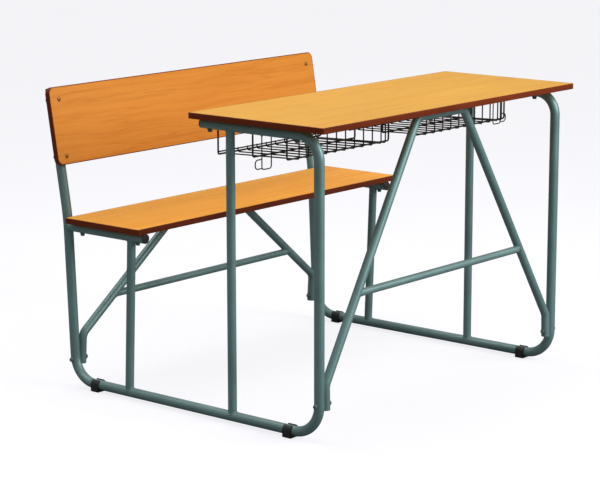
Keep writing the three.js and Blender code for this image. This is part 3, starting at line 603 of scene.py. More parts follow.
grain, grain_in, grain_out = effect(
    "beech_grain",
    [("Shift", "NodeSocketVector", (0.0, 0.0, 0.0))],
    [("Streak", "NodeSocketFloat"), ("Broad", "NodeSocketFloat"), ("Line", "NodeSocketFloat"),
     ("Pore", "NodeSocketFloat")])
grain_place = node(grain, "ShaderNodeTexCoord")
grain_shifted = node(grain, "ShaderNodeVectorMath", {
    0: grain_place.outputs["Object"], 1: grain_in.outputs["Shift"]}, operation="ADD")
grain_wander = node(grain, "ShaderNodeTexNoise", {
    "Vector": grain_shifted.outputs["Vector"], "Scale": 2.2, "Detail": 2.0})
grain_bend = node(grain, "ShaderNodeVectorMath", {
    0: grain_wander.outputs["Color"], 1: WANDER, 2: grain_shifted.outputs["Vector"]},
    operation="MULTIPLY_ADD")


def grain_noise(scale, detail, roughness):
    stretch = node(grain, "ShaderNodeMapping", {"Vector": grain_bend.outputs["Vector"], "Scale": scale})
    return node(grain, "ShaderNodeTexNoise", {
        "Vector": stretch.outputs["Vector"], "Scale": 1.0, "Detail": detail,
        "Roughness": roughness}).outputs["Fac"]


grain.links.new(grain_noise(STREAK_SCALE, detail=5.0, roughness=0.6), grain_out.inputs["Streak"])
grain.links.new(grain_noise(BROAD_SCALE, detail=3.0, roughness=0.5), grain_out.inputs["Broad"])
# A thin line runs where a slow noise passes its middle value
ridge = node(grain, "ShaderNodeMath", {0: grain_noise(LINE_SCALE, detail=3.0, roughness=0.55), 1: 0.5},
             operation="SUBTRACT")
ridge_size = node(grain, "ShaderNodeMath", {0: ridge.outputs["Value"]}, operation="ABSOLUTE")
lines = node(grain, "ShaderNodeMapRange", {
    "Value": ridge_size.outputs["Value"], "From Min": 0.030, "From Max": 0.004})
grain.links.new(lines.outputs["Result"], grain_out.inputs["Line"])
pores = node(grain, "ShaderNodeMapRange", {
    "Value": grain_noise(PORE_SCALE, detail=1.0, roughness=0.5), "From Min": 0.60, "From Max": 0.72})
grain.links.new(pores.outputs["Result"], grain_out.inputs["Pore"])

# The light, middle and dark tone of each board's laminate. The three boards are one laminate, and their tones
# differ partly as real boards vary and partly as painted light: the seat's are lifted lighter, as painted
# light against the shade that the desk top and backrest cast on it, and the upright backrest's are a little
# darker, as painted shade.
DESK_TONES = ((0.67, 0.355, 0.050, 1.0), (0.64, 0.312, 0.036, 1.0), (0.53, 0.225, 0.020, 1.0))
SEAT_TONES_WITH_PAINTED_LIGHT = ((0.87, 0.395, 0.044, 1.0), (0.82, 0.340, 0.032, 1.0), (0.68, 0.235, 0.018, 1.0))
BACKREST_TONES_WITH_PAINTED_SHADE = ((0.79, 0.305, 0.046, 1.0), (0.73, 0.258, 0.033, 1.0), (0.60, 0.175, 0.017, 1.0))
LAMINATE_DUST = (0.8, 0.74, 0.62, 1.0)
BROAD_SHARE = 0.55
LINE_DEPTH = 0.42
PORE_DEPTH = 0.34
PORE_SINK = -0.8


def laminate(name, shift, light, middle, dark):
    """A beech-patterned laminate in the tones of one board."""
    made, tree, shader = surface(name, Specular_IOR_Level=0.15)
    figure = placed(tree, grain, {"Shift": shift}).outputs
    streaks = ramp(tree, figure["Streak"], [(0.30, dark), (0.50, middle), (0.72, light)])
    broad = ramp(tree, figure["Broad"], [(0.32, middle), (0.68, light)])
    tone = mixed(tree, BROAD_SHARE, streaks, broad)
    lined = mixed(tree, spread(tree, figure["Line"], 0.0, LINE_DEPTH), tone, dark)
    pored = mixed(tree, spread(tree, figure["Pore"], 0.0, PORE_DEPTH), lined, dark)
    dusty = placed(tree, dust, {"Amount": 0.05}).outputs["Mask"]
    tree.links.new(mixed(tree, dusty, pored, LAMINATE_DUST), shader.inputs["Base Color"])
    rubs = noise(tree, (5.0, 5.0, 5.0), detail=5.0, roughness=0.6)
    tree.links.new(spread(tree, rubs, low=0.42, high=0.58, start=0.3, stop=0.7), shader.inputs["Roughness"])
    relief = node(tree, "ShaderNodeMath", {0: figure["Pore"], 1: PORE_SINK, 2: figure["Streak"]},
                  operation="MULTIPLY_ADD")
    bumped(tree, shader, relief.outputs["Value"], distance=0.00006, strength=0.5)
    return made


# The seat's laminate carries painted light and the backrest's painted shade, over the boards' own tones
desk_laminate = laminate("desk_top_laminate", (0.0, 0.0, 0.0), *DESK_TONES)
seat_laminate_with_painted_light = laminate("seat_laminate_with_painted_light", (3.1, 1.7, 0.0), *SEAT_TONES_WITH_PAINTED_LIGHT)
backrest_laminate_with_painted_shade = laminate("backrest_laminate_with_painted_shade", (7.4, 4.2, 0.0), *BACKREST_TONES_WITH_PAINTED_SHADE)

DESK_TOP_PLACE = Matrix.Translation((0.0, cad_low.y + DESK_DEPTH / 2, DESK_UNDERSIDE))
SEAT_PLACE = Matrix.Translation((0.0, FRONT_LEG_Y + SEAT_MIDDLE_SETBACK, SEAT_UNDERSIDE))
BACKREST_PLACE = (Matrix.Translation((0.0, POST_BEND_Y, POST_BEND_Z))
                  @ Matrix.Rotation(-BACKREST_LEAN, 4, "X")
                  @ Matrix.Translation((0.0, -BACKREST_STANDOFF, BACKREST_MIDDLE_RUN))
                  @ Matrix.Rotation(math.pi / 2, 4, "X"))
BOARDS = (
    ("desk_top", DESK_DEPTH, CORNER, DESK_TOP_PLACE, desk_laminate),
    ("seat", SEAT_DEPTH, CORNER, SEAT_PLACE, seat_laminate_with_painted_light),
    ("backrest", BACKREST_BREADTH, BACKREST_CORNER, BACKREST_PLACE, backrest_laminate_with_painted_shade),
)
core_inset = BAND + HAIR
core_edge = [(core_inset + CORE_EASE, HAIR), (core_inset, HAIR + CORE_EASE),
             (core_inset, BOARD - HAIR - CORE_EASE), (core_inset + CORE_EASE, BOARD - HAIR)]
for name, breadth, corner, place, finish in BOARDS:
    core = stacked(f"{name}_laminated_board", breadth, corner, core_edge, closed=False)
    core.matrix_world = place
    fitted(core, finish, "laminate", f"{name}_board")

# Edge bands. A 2 mm maroon plastic strip is glued right round each board, its two outer edges trimmed to a
# small round. It is extruded, so fine lines run along it.

BAND_ROUND = 0.0013
BAND_ROUND_STEPS = 5
BAND_DARK = (0.132, 0.019, 0.003, 1.0)
BAND_LIGHT = (0.200, 0.031, 0.005, 1.0)
BAND_SCUFF = (0.24, 0.10, 0.07, 1.0)

maroon_band, tree, shader = surface("maroon_band", Specular_IOR_Level=0.2)
drawn = noise(tree, (4.0, 4.0, 1500.0), detail=3.0, roughness=0.6)
shade = noise(tree, (6.0, 6.0, 40.0), detail=4.0)
band_tone = ramp(tree, shade, [(0.3, BAND_DARK), (0.7, BAND_LIGHT)])
band_knocks = placed(tree, chips, {"Scale": 130.0, "Amount": 0.25}).outputs["Mask"]
tree.links.new(mixed(tree, spread(tree, band_knocks, 0.0, 0.5), band_tone, BAND_SCUFF),
               shader.inputs["Base Color"])
tree.links.new(spread(tree, shade, low=0.30, high=0.45, start=0.3, stop=0.7), shader.inputs["Roughness"])
bumped(tree, shader, drawn, distance=0.00005, strength=0.5)


def rounded_band():
    """The strip's section: square against the board, its outer edges rounded."""
    section = [(BAND, 0.0), (BAND, BOARD)]
    for step in range(BAND_ROUND_STEPS + 1):
        angle = math.pi / 2 * (1 - step / BAND_ROUND_STEPS)
        section.append((BAND_ROUND * (1 - math.cos(angle)), BOARD - BAND_ROUND * (1 - math.sin(angle))))
    for step in range(BAND_ROUND_STEPS + 1):
        angle = math.pi / 2 * step / BAND_ROUND_STEPS
        section.append((BAND_ROUND * (1 - math.cos(angle)), BAND_ROUND * (1 - math.sin(angle))))
    return section


for name, breadth, corner, place, _ in BOARDS:
    band = stacked(f"{name}_maroon_band", breadth, corner, rounded_band(), closed=True)
    band.matrix_world = place
    fitted(band, maroon_band, "edge_band", f"{name}_edge_band")

# Wire baskets. Two alike under the desk top, each of three heavy wires welded across eleven thin ones,
# which form the floor, the front wall and a low back lip. They are dipped in gloss black.

LONG_WIRE = 0.00225
CROSS_WIRE = 0.00175
WIRE_WELD = 0.0009
WIRE_STACK = LONG_WIRE + CROSS_WIRE - WIRE_WELD
WIRE_TOP = DESK_UNDERSIDE - GAP
WIRE_FOOT = 0.020
WIRE_SIDES = 16
WIRE_BEND_STEP = math.radians(12)
BASKET_LEFT = -0.450
BASKET_RIGHT = -0.057
BASKET_STEP = 0.507
BASKET_FRONT_SETBACK = 0.134
BASKET_MIDDLE_SETBACK = 0.24082
BASKET_BACK_SETBACK = 0.352
BASKET_FRONT = FRONT_LEG_Y + BASKET_FRONT_SETBACK
BASKET_MIDDLE = FRONT_LEG_Y + BASKET_MIDDLE_SETBACK
BASKET_BACK = FRONT_LEG_Y + BASKET_BACK_SETBACK
BASKET_FRONT_FLOOR = 0.660
BASKET_FALL = 0.008
BASKET_LIP_RISE = 0.006
BASKET_BEND = 0.005
CROSS_WIRES = 10
CROSS_LEFT_MARGIN = 0.041
CROSS_RIGHT_MARGIN = 0.034
EXTRA_WIRE_INSET = 0.0165

# A wire's snipped end, as shares of its radius: how wide each ring is, and how far back it lies
SNIPPED_END_SHARES = ((0.55, 0.0), (0.86, 0.0), (1.0, 0.2))

WIRE_DARK = (0.012, 0.012, 0.014, 1.0)
WIRE_LIGHT = (0.028, 0.028, 0.031, 1.0)
WIRE_DUST = (0.33, 0.32, 0.30, 1.0)

black_wire, tree, shader = surface(
    "black_dipped_wire", Specular_IOR_Level=0.5, Coat_Weight=0.35, Coat_Roughness=0.12)
dipped = noise(tree, (240.0, 240.0, 240.0), detail=3.0)
wire_dust = placed(tree, dust, {"Amount": 0.12}).outputs["Mask"]
wire_tone = ramp(tree, dipped, [(0.3, WIRE_DARK), (0.75, WIRE_LIGHT)])
tree.links.new(mixed(tree, wire_dust, wire_tone, WIRE_DUST), shader.inputs["Base Color"])
tree.links.new(spread(tree, dipped, low=0.30, high=0.48, start=0.3, stop=0.7), shader.inputs["Roughness"])
bumped(tree, shader, dipped, distance=0.00010, strength=0.5)


def basket_floor(y):
    """The floor of a basket falls a little towards its open back."""
    return BASKET_FRONT_FLOOR - BASKET_FALL * (y - BASKET_FRONT) / (BASKET_BACK - BASKET_FRONT)


def snipped_end(radius):
    return [(radius * across, radius * back) for across, back in SNIPPED_END_SHARES]


def wire_shell(shell, corners, radii, radius, end=None):
    line = bent([Vector(corner) for corner in corners], radii, WIRE_BEND_STEP)
    bar_shell(shell, line, radius, WIRE_SIDES, snipped_end(radius), end or snipped_end(radius))


def cross_wire_places(left, right):
    """Where the thin wires cross a basket: ten evenly spaced, and one more close to its right end."""
    first = left + CROSS_LEFT_MARGIN
    last = right - CROSS_RIGHT_MARGIN
    places = [right - EXTRA_WIRE_INSET]
    for index in range(CROSS_WIRES):
        share = index / (CROSS_WIRES - 1)
        places.append(first * (1 - share) + last * share)
    return places


lip_z = basket_floor(BASKET_BACK) + BASKET_LIP_RISE
lip_y = BASKET_BACK + WIRE_STACK - 2 * CROSS_WIRE + WIRE_WELD
cross_back = BASKET_BACK + WIRE_STACK
cross_front = BASKET_FRONT - WIRE_STACK
foot_z = WIRE_TOP - LONG_WIRE
for step, (side, _) in enumerate(SIDES):
    shell = bmesh.new()
    left = BASKET_LEFT + step * BASKET_STEP
    right = BASKET_RIGHT + step * BASKET_STEP
    for y in (BASKET_FRONT, BASKET_MIDDLE, BASKET_BACK):
        wire_shell(shell, [
            (left + WIRE_FOOT, y, foot_z), (left, y, foot_z), (left, y, basket_floor(y)),
            (right, y, basket_floor(y)), (right, y, foot_z), (right - WIRE_FOOT, y, foot_z),
        ], [BASKET_BEND] * 4, LONG_WIRE)
    wire_shell(shell, [(left, lip_y, lip_z), ((left + right) / 2, lip_y, lip_z), (right, lip_y, lip_z)],
               [BASKET_BEND], CROSS_WIRE)
    for x in cross_wire_places(left, right):
        wire_shell(shell, [
            (x, cross_back, lip_z + CROSS_WIRE),
            (x, cross_back, basket_floor(cross_back) - WIRE_STACK),
            (x, cross_front, basket_floor(cross_front) - WIRE_STACK),
            (x, cross_front, WIRE_TOP),
        ], [BASKET_BEND] * 2, CROSS_WIRE)
    fitted(finished_mesh(f"{side}_book_basket", shell), black_wire, "black_wire", f"{side}_wire_basket")

# Bag hooks. Beside each basket's outer end hangs a long U of thin wire, welded to the desk rail on its
# outer side, where a curl reaches out for a bag. It is dipped black as the baskets are.

HOOK_WIRE = 0.0015
HOOK_INNER_X = 0.45875
HOOK_SETBACK = 0.175
HOOK_Y = FRONT_LEG_Y + HOOK_SETBACK
HOOK_BOTTOM = 0.638
HOOK_FOOT_BEND = 0.005
HOOK_BEND = 0.007
HOOK_CURL_RISE = 0.003
HOOK_CURL_REACH = 0.024
HOOK_CURL_HEIGHT = 0.022
HOOK_CURL_BEND = 0.009

# The weld that swells the hook's end against the rail, as (radius, distance back from the end) pairs
HOOK_WELD = ((0.0034, 0.0), (0.0032, 0.0006), (0.0021, 0.0018), (HOOK_WIRE, 0.0042))

foot_z = WIRE_TOP - HOOK_WIRE
low = HOOK_BOTTOM + HOOK_CURL_RISE
high = low + HOOK_CURL_HEIGHT
for side, sign in SIDES:
    shell = bmesh.new()
    inner = sign * HOOK_INNER_X
    outer = sign * FRAME_X
    wire_shell(shell, [
        (inner - sign * WIRE_FOOT, HOOK_Y, foot_z), (inner, HOOK_Y, foot_z), (inner, HOOK_Y, HOOK_BOTTOM),
        (outer, HOOK_Y, HOOK_BOTTOM), (outer, HOOK_Y, DESK_RAIL_Z - FRAME_TUBE),
    ], [HOOK_FOOT_BEND, HOOK_BEND, HOOK_BEND], HOOK_WIRE, end=HOOK_WELD)
    far = sign * (FRAME_X + HOOK_CURL_REACH)
    wire_shell(shell, [(outer, HOOK_Y, low), (far, HOOK_Y, low), (far, HOOK_Y, high), (outer, HOOK_Y, high)],
               [HOOK_CURL_BEND] * 2, HOOK_WIRE)
    fitted(finished_mesh(f"{side}_bag_hook_wire", shell), black_wire, "black_wire", f"{side}_bag_hook")

# Foot clips. Moulded black plastic clips snap round the floor rails and keep the steel off the floor.
# Each is a flat pad with two springy arms, its edges softened by the mould.

CLIP_WALL = 0.003
CLIP_LENGTH = 0.025
CLIP_ARM = math.radians(62)
CLIP_ARM_STEPS = 8
CLIP_BORE_STEPS = 28
CLIP_PAD_EASE = 0.001
CLIP_EDGE = 0.0007
CLIP_EDGE_ANGLE = math.radians(60)
CLIP_EDGE_SEGMENTS = 2
FRONT_CLIP_SETBACK = 0.0895
REAR_CLIP_TO_BEND = 0.0145
FRONT_CLIP_Y = FRONT_LEG_Y + FRONT_CLIP_SETBACK
REAR_BEND_TURN = math.pi / 2 - POST_LEAN
REAR_BEND_START_Y = post_line(FLOOR_RAIL_Z) - REAR_FOOT_BEND * math.tan(REAR_BEND_TURN / 2)
REAR_CLIP_Y = REAR_BEND_START_Y - REAR_CLIP_TO_BEND

PLASTIC_DARK = (0.010, 0.010, 0.011, 1.0)
PLASTIC_LIGHT = (0.026, 0.026, 0.027, 1.0)
PLASTIC_SCUFF = (0.12, 0.12, 0.12, 1.0)
PLASTIC_DUST = (0.35, 0.34, 0.32, 1.0)

moulded_black, tree, shader = surface("moulded_black", Specular_IOR_Level=0.45)
mould = noise(tree, (1100.0, 1100.0, 1100.0), detail=2.0)
patchy = noise(tree, (45.0, 45.0, 45.0), detail=5.0, roughness=0.6)
mould_tone = ramp(tree, patchy, [(0.3, PLASTIC_DARK), (0.7, PLASTIC_LIGHT)])
mould_dust = placed(tree, dust, {"Amount": 0.25}).outputs["Mask"]
mould_scuff = placed(tree, chips, {"Scale": 160.0, "Amount": 0.5}).outputs["Mask"]
scuffed = mixed(tree, spread(tree, mould_scuff, 0.0, 0.45), mould_tone, PLASTIC_SCUFF)
tree.links.new(mixed(tree, mould_dust, scuffed, PLASTIC_DUST), shader.inputs["Base Color"])
tree.links.new(spread(tree, patchy, low=0.42, high=0.62, start=0.3, stop=0.7), shader.inputs["Roughness"])
bumped(tree, shader, mould, distance=0.00008, strength=0.6)


def arc(radius, start, stop, steps):
    """Points along an arc about the rail's centre line, both ends included."""
    angles = [start + (stop - start) * step / steps for step in range(steps + 1)]
    return [(radius * math.cos(angle), radius * math.sin(angle)) for angle in angles]


def clip_section():
    """The clip seen along the rail: (x, z) from the rail's centre line."""
    outer = FRAME_TUBE + GAP + CLIP_WALL
    floor = -FLOOR_RAIL_Z
    pad = [(-outer + CLIP_PAD_EASE, floor), (outer - CLIP_PAD_EASE, floor), (outer, floor + CLIP_PAD_EASE)]
    right_arm = arc(outer, 0.0, CLIP_ARM, CLIP_ARM_STEPS)
    bore = arc(FRAME_TUBE + HAIR, CLIP_ARM, -math.pi - CLIP_ARM, CLIP_BORE_STEPS)
    left_arm = arc(outer, math.pi - CLIP_ARM, math.pi, CLIP_ARM_STEPS)
    return pad + right_arm + bore + left_arm + [(-outer, floor + CLIP_PAD_EASE)]


def foot_clip(name, x, y):
    section = clip_section()
    shell = bmesh.new()
    rings = []
    for end_y in (y - CLIP_LENGTH / 2, y + CLIP_LENGTH / 2):
        rings.append([shell.verts.new((x + across, end_y, FLOOR_RAIL_Z + up)) for across, up in section])
    loft(shell, rings)
    rim = [edge for edge in shell.edges
           if len(edge.link_faces) == 2 and edge.calc_face_angle(0.0) > CLIP_EDGE_ANGLE
           and abs(edge.verts[0].co.y - edge.verts[1].co.y) < HAIR]
    bmesh.ops.bevel(shell, geom=rim, offset=CLIP_EDGE, segments=CLIP_EDGE_SEGMENTS, affect="EDGES",
                    profile=0.5)
    return finished_mesh(name, shell)


for side, sign in SIDES:
    for place, y in (("front", FRONT_CLIP_Y), ("rear", REAR_CLIP_Y)):
        clip = foot_clip(f"{side}_{place}_foot_clip", sign * FRAME_X, y)
        fitted(clip, moulded_black, "black_plastic", f"{side}_{place}_foot_glide")

# End plugs. Moulded black plugs are knocked into the open ends of the desk rails, seat rails and back
# posts. Each has a slightly domed head as wide as the tube.

PLUG_PLAY = 0.0002
PLUG_DEPTH = 0.012
PLUG_RIM_EASE = 0.0003
PLUG_RIM = 0.0005
PLUG_ROUND = 0.0016
PLUG_ROUND_RISE = 0.0012
PLUG_ROUND_STEPS = 4
PLUG_SIDES = 40

# The head's dome, as (radius, height) pairs
PLUG_DOME = ((0.008, 0.0028), (0.004, 0.0032), (0.001, 0.0033))


def aimed(at, along):
    """A frame at a place, with its z along a direction."""
    along = along.normalized()
    side = along.orthogonal().normalized()
    turn = Matrix((side, along.cross(side), along)).transposed().to_4x4()
    return Matrix.Translation(at) @ turn


def turned(shell, profile, stand, sides):
    """Adds a turned solid from (radius, height) pairs, standing in a frame and closed at both ends."""
    rings = []
    for radius, height in profile:
        ring = []
        for index in range(sides):
            angle = 2 * math.pi * index / sides
            ring.append(shell.verts.new(stand @ Vector((
                radius * math.cos(angle), radius * math.sin(angle), height))))
        rings.append(ring)
    loft(shell, rings)


def plug_profile():
    """From the insert's inner end, over the rim and its round edge, to the middle of the dome."""
    insert = FRAME_TUBE - TUBE_WALL - PLUG_PLAY
    profile = [(insert, -PLUG_DEPTH), (insert, HAIR), (FRAME_TUBE - PLUG_RIM_EASE, 2 * HAIR),
               (FRAME_TUBE, PLUG_RIM)]
    for step in range(PLUG_ROUND_STEPS + 1):
        angle = math.pi / 2 * step / PLUG_ROUND_STEPS
        profile.append((FRAME_TUBE - PLUG_ROUND * (1 - math.cos(angle)),
                        PLUG_ROUND_RISE * (1 + math.sin(angle))))
    return [*profile, *PLUG_DOME]


def end_plug(name, at, along, node_name):
    shell = bmesh.new()
    turned(shell, plug_profile(), aimed(at, along), PLUG_SIDES)
    fitted(finished_mesh(name, shell), moulded_black, "black_plastic", node_name)


for side, sign in SIDES:
    x = sign * FRAME_X
    end_plug(f"{side}_desk_rail_end_plug", Vector((x, DESK_RAIL_END_Y, DESK_RAIL_Z)), BACK,
             f"{side}_desk_rail_plug")
    end_plug(f"{side}_seat_rail_end_plug", Vector((x, SEAT_RAIL_FRONT_Y, SEAT_RAIL_Z)), -BACK,
             f"{side}_seat_rail_plug")
    post_top = on_back_post(x, POST_TOP_RUN)
    end_plug(f"{side}_back_post_end_plug", post_top, post_top - on_back_post(x, 0.0),
             f"{side}_back_post_plug")

# Bolts, nuts and screws. Zinc-plated M6, gone dark: flanged hexagon bolts up through the rails, hexagon
# bolts through the braces' feet, low round heads on the backrest, with nuts behind.

BOLT = 0.003
BITE = 0.0105
THREAD_START = -0.0005
THREAD_PITCH = 0.001
THREAD_DEPTH = 0.0004
TIP_LENGTH = 0.0006
TIP_TAPER = 0.001
THREAD_SIDES = 24
HEX = 0.006
HEX_CHAMFER = 0.0007
HEX_END_SHARE = 0.9
HEX_ROUND_SHARE = 0.93
HEX_POINTS = 24
HEAD = 0.005
HEAD_SIDES = 32
FLANGE = 0.007
FLANGE_RISE = 0.0018
NUT_LOW = 0.0008
NUT_HIGH = 0.005
DOME_RISE = 0.0025
DOME_STEPS = 6
DOME_TIP = 0.0004
BACK_BOLT_TAIL = 0.0073
FOOT_BOLT_TAIL = 0.007
UPPER_BOLT_DROP = 0.032
LOWER_BOLT_RISE = 0.022
METAL_CREASE = math.radians(28)

# The setbacks of the bolts up through the desk rail and the seat rail
RAIL_BOLTS = (("front", 0.066, 0.586), ("back", 0.339, 0.782))

# Turned outlines, as (radius, height) pairs
FLANGE_SHAPE = ((0.0068, 0.0), (FLANGE, -0.0004), (FLANGE, -0.0009), (0.0057, -0.002))
NUT_FLANGE_SHAPE = ((0.0072, -0.0003), (0.0074, 0.0), (0.0074, 0.0006), (0.0072, 0.0009))

ZINC_DARK = (0.09, 0.122, 0.120, 1.0)
ZINC_MIDDLE = (0.16, 0.215, 0.212, 1.0)
ZINC_LIGHT = (0.25, 0.325, 0.320, 1.0)
YELLOW_DARK = (0.20, 0.085, 0.018, 1.0)
YELLOW_LIGHT = (0.40, 0.19, 0.045, 1.0)

dark_zinc, tree, shader = surface("dark_zinc", Metallic=0.65, Specular_IOR_Level=0.5)
plating = noise(tree, (160.0, 160.0, 160.0), detail=5.0, roughness=0.65)
zinc_tone = ramp(tree, plating, [(0.28, ZINC_DARK), (0.45, ZINC_MIDDLE), (0.75, ZINC_LIGHT)])
tree.links.new(zinc_tone, shader.inputs["Base Color"])
tree.links.new(spread(tree, plating, low=0.62, high=0.34, start=0.3, stop=0.7), shader.inputs["Roughness"])
bumped(tree, shader, plating, distance=0.00008, strength=0.5)

# The backrest's bolts are yellow-plated, close to the laminate's own tone
yellow_zinc, tree, shader = surface("yellow_zinc", Metallic=0.85, Specular_IOR_Level=0.5)
tarnish = noise(tree, (190.0, 190.0, 190.0), detail=5.0, roughness=0.6)
tree.links.new(ramp(tree, tarnish, [(0.3, YELLOW_DARK), (0.7, YELLOW_LIGHT)]), shader.inputs["Base Color"])
tree.links.new(spread(tree, tarnish, low=0.62, high=0.46, start=0.3, stop=0.7), shader.inputs["Roughness"])
bumped(tree, shader, tarnish, distance=0.00006, strength=0.5)


def hexagon(shell, low, high, stand):
    """A hexagon head or nut body, its outer corners chamfered round."""
    rings = []
    for radius, height, limit in (
            (HEX * HEX_END_SHARE, low, HEX_ROUND_SHARE), (HEX, low + HEX_CHAMFER, 1.0),
            (HEX, high - HEX_CHAMFER, 1.0), (HEX * HEX_END_SHARE, high, HEX_ROUND_SHARE)):
        ring = []
        for index in range(HEX_POINTS):
            angle = 2 * math.pi * index / HEX_POINTS
            off_corner = (angle + math.pi / 6) % (math.pi / 3) - math.pi / 6
            flat_share = math.cos(math.pi / 6) / math.cos(math.pi / 6 - abs(off_corner))
            reach = radius * min(flat_share, limit)
            ring.append(shell.verts.new(stand @ Vector((
                reach * math.cos(angle), reach * math.sin(angle), height))))
        rings.append(ring)
    loft(shell, rings)


def thread(shell, stop, stand):
    """The shank of a bolt: fine ridges, with a chamfered tip."""
    root = BOLT - THREAD_DEPTH
    profile = []
    height = THREAD_START
    while height < stop - THREAD_PITCH:
        profile += [(root, height), (BOLT, height + THREAD_PITCH / 2)]
        height += THREAD_PITCH
    profile += [(root, stop - TIP_LENGTH), (BOLT - TIP_TAPER, stop)]
    turned(shell, profile, stand, THREAD_SIDES)


def zinc_piece(name, shell, *nodes, finish=dark_zinc):
    fitted(finished_mesh(name, shell, METAL_CREASE), finish, "zinc_steel", *nodes)


def hex_bolt(name, at, along, length, node_name, flange=False):
    """A bolt with its shank along a direction and its head behind the place it bears on."""
    stand = aimed(at, along)
    shell = bmesh.new()
    head_low = 0.0
    if flange:
        turned(shell, FLANGE_SHAPE, stand, HEAD_SIDES)
        head_low = -FLANGE_RISE
    hexagon(shell, head_low - HEAD, head_low, stand)
    thread(shell, length, stand)
    zinc_piece(name, shell, node_name)


def hex_nut(name, at, along, node_name):
    """A hexagon nut with a thin flange."""
    stand = aimed(at, along)
    shell = bmesh.new()
    turned(shell, NUT_FLANGE_SHAPE, stand, HEAD_SIDES)
    hexagon(shell, NUT_LOW, NUT_HIGH, stand)
    zinc_piece(name, shell, node_name)


def round_bolt(name, at, along, length, node_name):
    """A bolt with a low domed head, as on the face of the backrest."""
    stand = aimed(at, along)
    dome = []
    for step in range(DOME_STEPS + 1):
        angle = math.pi / 2 * step / DOME_STEPS
        dome.append((max(HEX * math.sin(angle), DOME_TIP), -DOME_RISE * math.cos(angle) - HAIR))
    shell = bmesh.new()
    turned(shell, dome, stand, HEAD_SIDES)
    thread(shell, length, stand)
    zinc_piece(name, shell, node_name, finish=yellow_zinc)


rail_bolt_length = 2 * FRAME_TUBE + 2 * GAP + BITE
back_bolt_length = BOARD + GAP + 2 * FRAME_TUBE + BACK_BOLT_TAIL
behind = on_back_post(0.0, 0.0, 1.0) - on_back_post(0.0, 0.0)
for side, sign in SIDES:
    x = sign * FRAME_X
    for place, desk_setback, seat_setback in RAIL_BOLTS:
        under = Vector((x, FRONT_LEG_Y + desk_setback, DESK_RAIL_Z - FRAME_TUBE - HAIR))
        hex_bolt(f"{side}_{place}_desk_bolt", under, UP, rail_bolt_length,
                 f"{side}_{place}_desk_top_bolt", flange=True)
        under = Vector((x, FRONT_LEG_Y + seat_setback, SEAT_RAIL_Z - FRAME_TUBE - HAIR))
        hex_bolt(f"{side}_{place}_bench_bolt", under, UP, rail_bolt_length,
                 f"{side}_{place}_seat_bolt", flange=True)
    for place, run in (("upper", BACKREST_TOP_RUN - UPPER_BOLT_DROP),
                       ("lower", BACKREST_BOTTOM_RUN + LOWER_BOLT_RISE)):
        face = on_back_post(x, run, -(BACKREST_STANDOFF + BOARD))
        round_bolt(f"{side}_{place}_back_bolt", face, behind, back_bolt_length,
                   f"{side}_{place}_backrest_bolt")
        hex_nut(f"{side}_{place}_back_nut", on_back_post(x, run, FRAME_TUBE + 2 * HAIR), behind,
                f"{side}_{place}_backrest_nut")
    inward = Vector((-sign, 0.0, 0.0))
    for name, brace in BRACES.items():
        stand = brace_frame(brace)
        outer = stand @ Vector((sign * (FRAME_X + FRAME_TUBE + 2 * HAIR), 0.0, 0.0))
        inner = stand @ Vector((sign * (BRACE_FOOT_X - BRACE_TUBE - 2 * HAIR), 0.0, 0.0))
        hex_bolt(f"{side}_{name}_foot_bolt", outer, inward, (outer - inner).length + FOOT_BOLT_TAIL,
                 f"{side}_{name}_bolt")
        hex_nut(f"{side}_{name}_foot_nut", inner, inward, f"{side}_{name}_nut")
        top = brace_rise(brace, brace["top"].z)
        under = stand @ Vector((sign * brace["screw"], 0.0, top - BRACE_TUBE - 2 * HAIR))
        up = stand.to_3x3() @ UP
        hex_bolt(f"{side}_{name}_top_screw", under, up, 2 * BRACE_TUBE + BITE, f"{side}_{name}_screw")

# Wire feet. Each basket and hook wire ends in a flattened eye under the desk top, held by a small pan-head
# screw driven up into the board.

EYE_THICKNESS = 0.0013
EYE_SIDES = 28
PAN_SIDES = 24

# Turned outlines, as (radius, height) pairs
EYE_SHAPE = ((0.0052, 0.0), (0.0055, 0.0003), (0.0055, 0.0010), (0.0051, EYE_THICKNESS))
PAN_SHAPE = ((0.0036, 0.0), (0.0038, 0.0006), (0.0034, 0.0014), (0.0022, 0.0019), (0.0014, 0.0020),
             (0.0008, 0.0009))

for step, (side, sign) in enumerate(SIDES):
    eyes = bmesh.new()
    screws = bmesh.new()
    left = BASKET_LEFT + step * BASKET_STEP
    right = BASKET_RIGHT + step * BASKET_STEP
    foot_places = [(sign * (HOOK_INNER_X - WIRE_FOOT), HOOK_Y)]
    for y in (BASKET_FRONT, BASKET_MIDDLE, BASKET_BACK):
        foot_places += [(left + WIRE_FOOT, y), (right - WIRE_FOOT, y)]
    for x, y in foot_places:
        turned(eyes, EYE_SHAPE, aimed(Vector((x, y, DESK_UNDERSIDE - HAIR)), -UP), EYE_SIDES)
        turned(screws, PAN_SHAPE, aimed(Vector((x, y, DESK_UNDERSIDE - EYE_THICKNESS)), -UP), PAN_SIDES)
    fitted(finished_mesh(f"{side}_wire_eyes", eyes), black_wire, "black_wire")
    zinc_piece(f"{side}_wire_screws", screws)

# The studio. A wide pale floor under soft even light, seen from the front left at a standing height.
# The room is dim at the height of the desk and bright overhead.

FLOOR_HALF = 30.0
FLOOR_DROP = 0.0005
PAPER_DARK = (0.19, 0.19, 0.20, 1.0)
PAPER_LIGHT = (0.20, 0.20, 0.21, 1.0)
PAPER_TINT = (0.97, 0.97, 1.0, 1.0)
PAPER_GLOW = 0.82
WHITE = (1.0, 1.0, 1.0, 1.0)
ROOM_LOW = 0.12
ROOM_HIGH = 0.62

floor_paper, tree, shader = surface(
    "floor_paper", Specular_IOR_Level=0.1, Roughness=0.85, Emission_Color=PAPER_TINT)
paper = noise(tree, (3.0, 3.0, 3.0), detail=4.0)
tree.links.new(ramp(tree, paper, [(0.3, PAPER_DARK), (0.7, PAPER_LIGHT)]), shader.inputs["Base Color"])
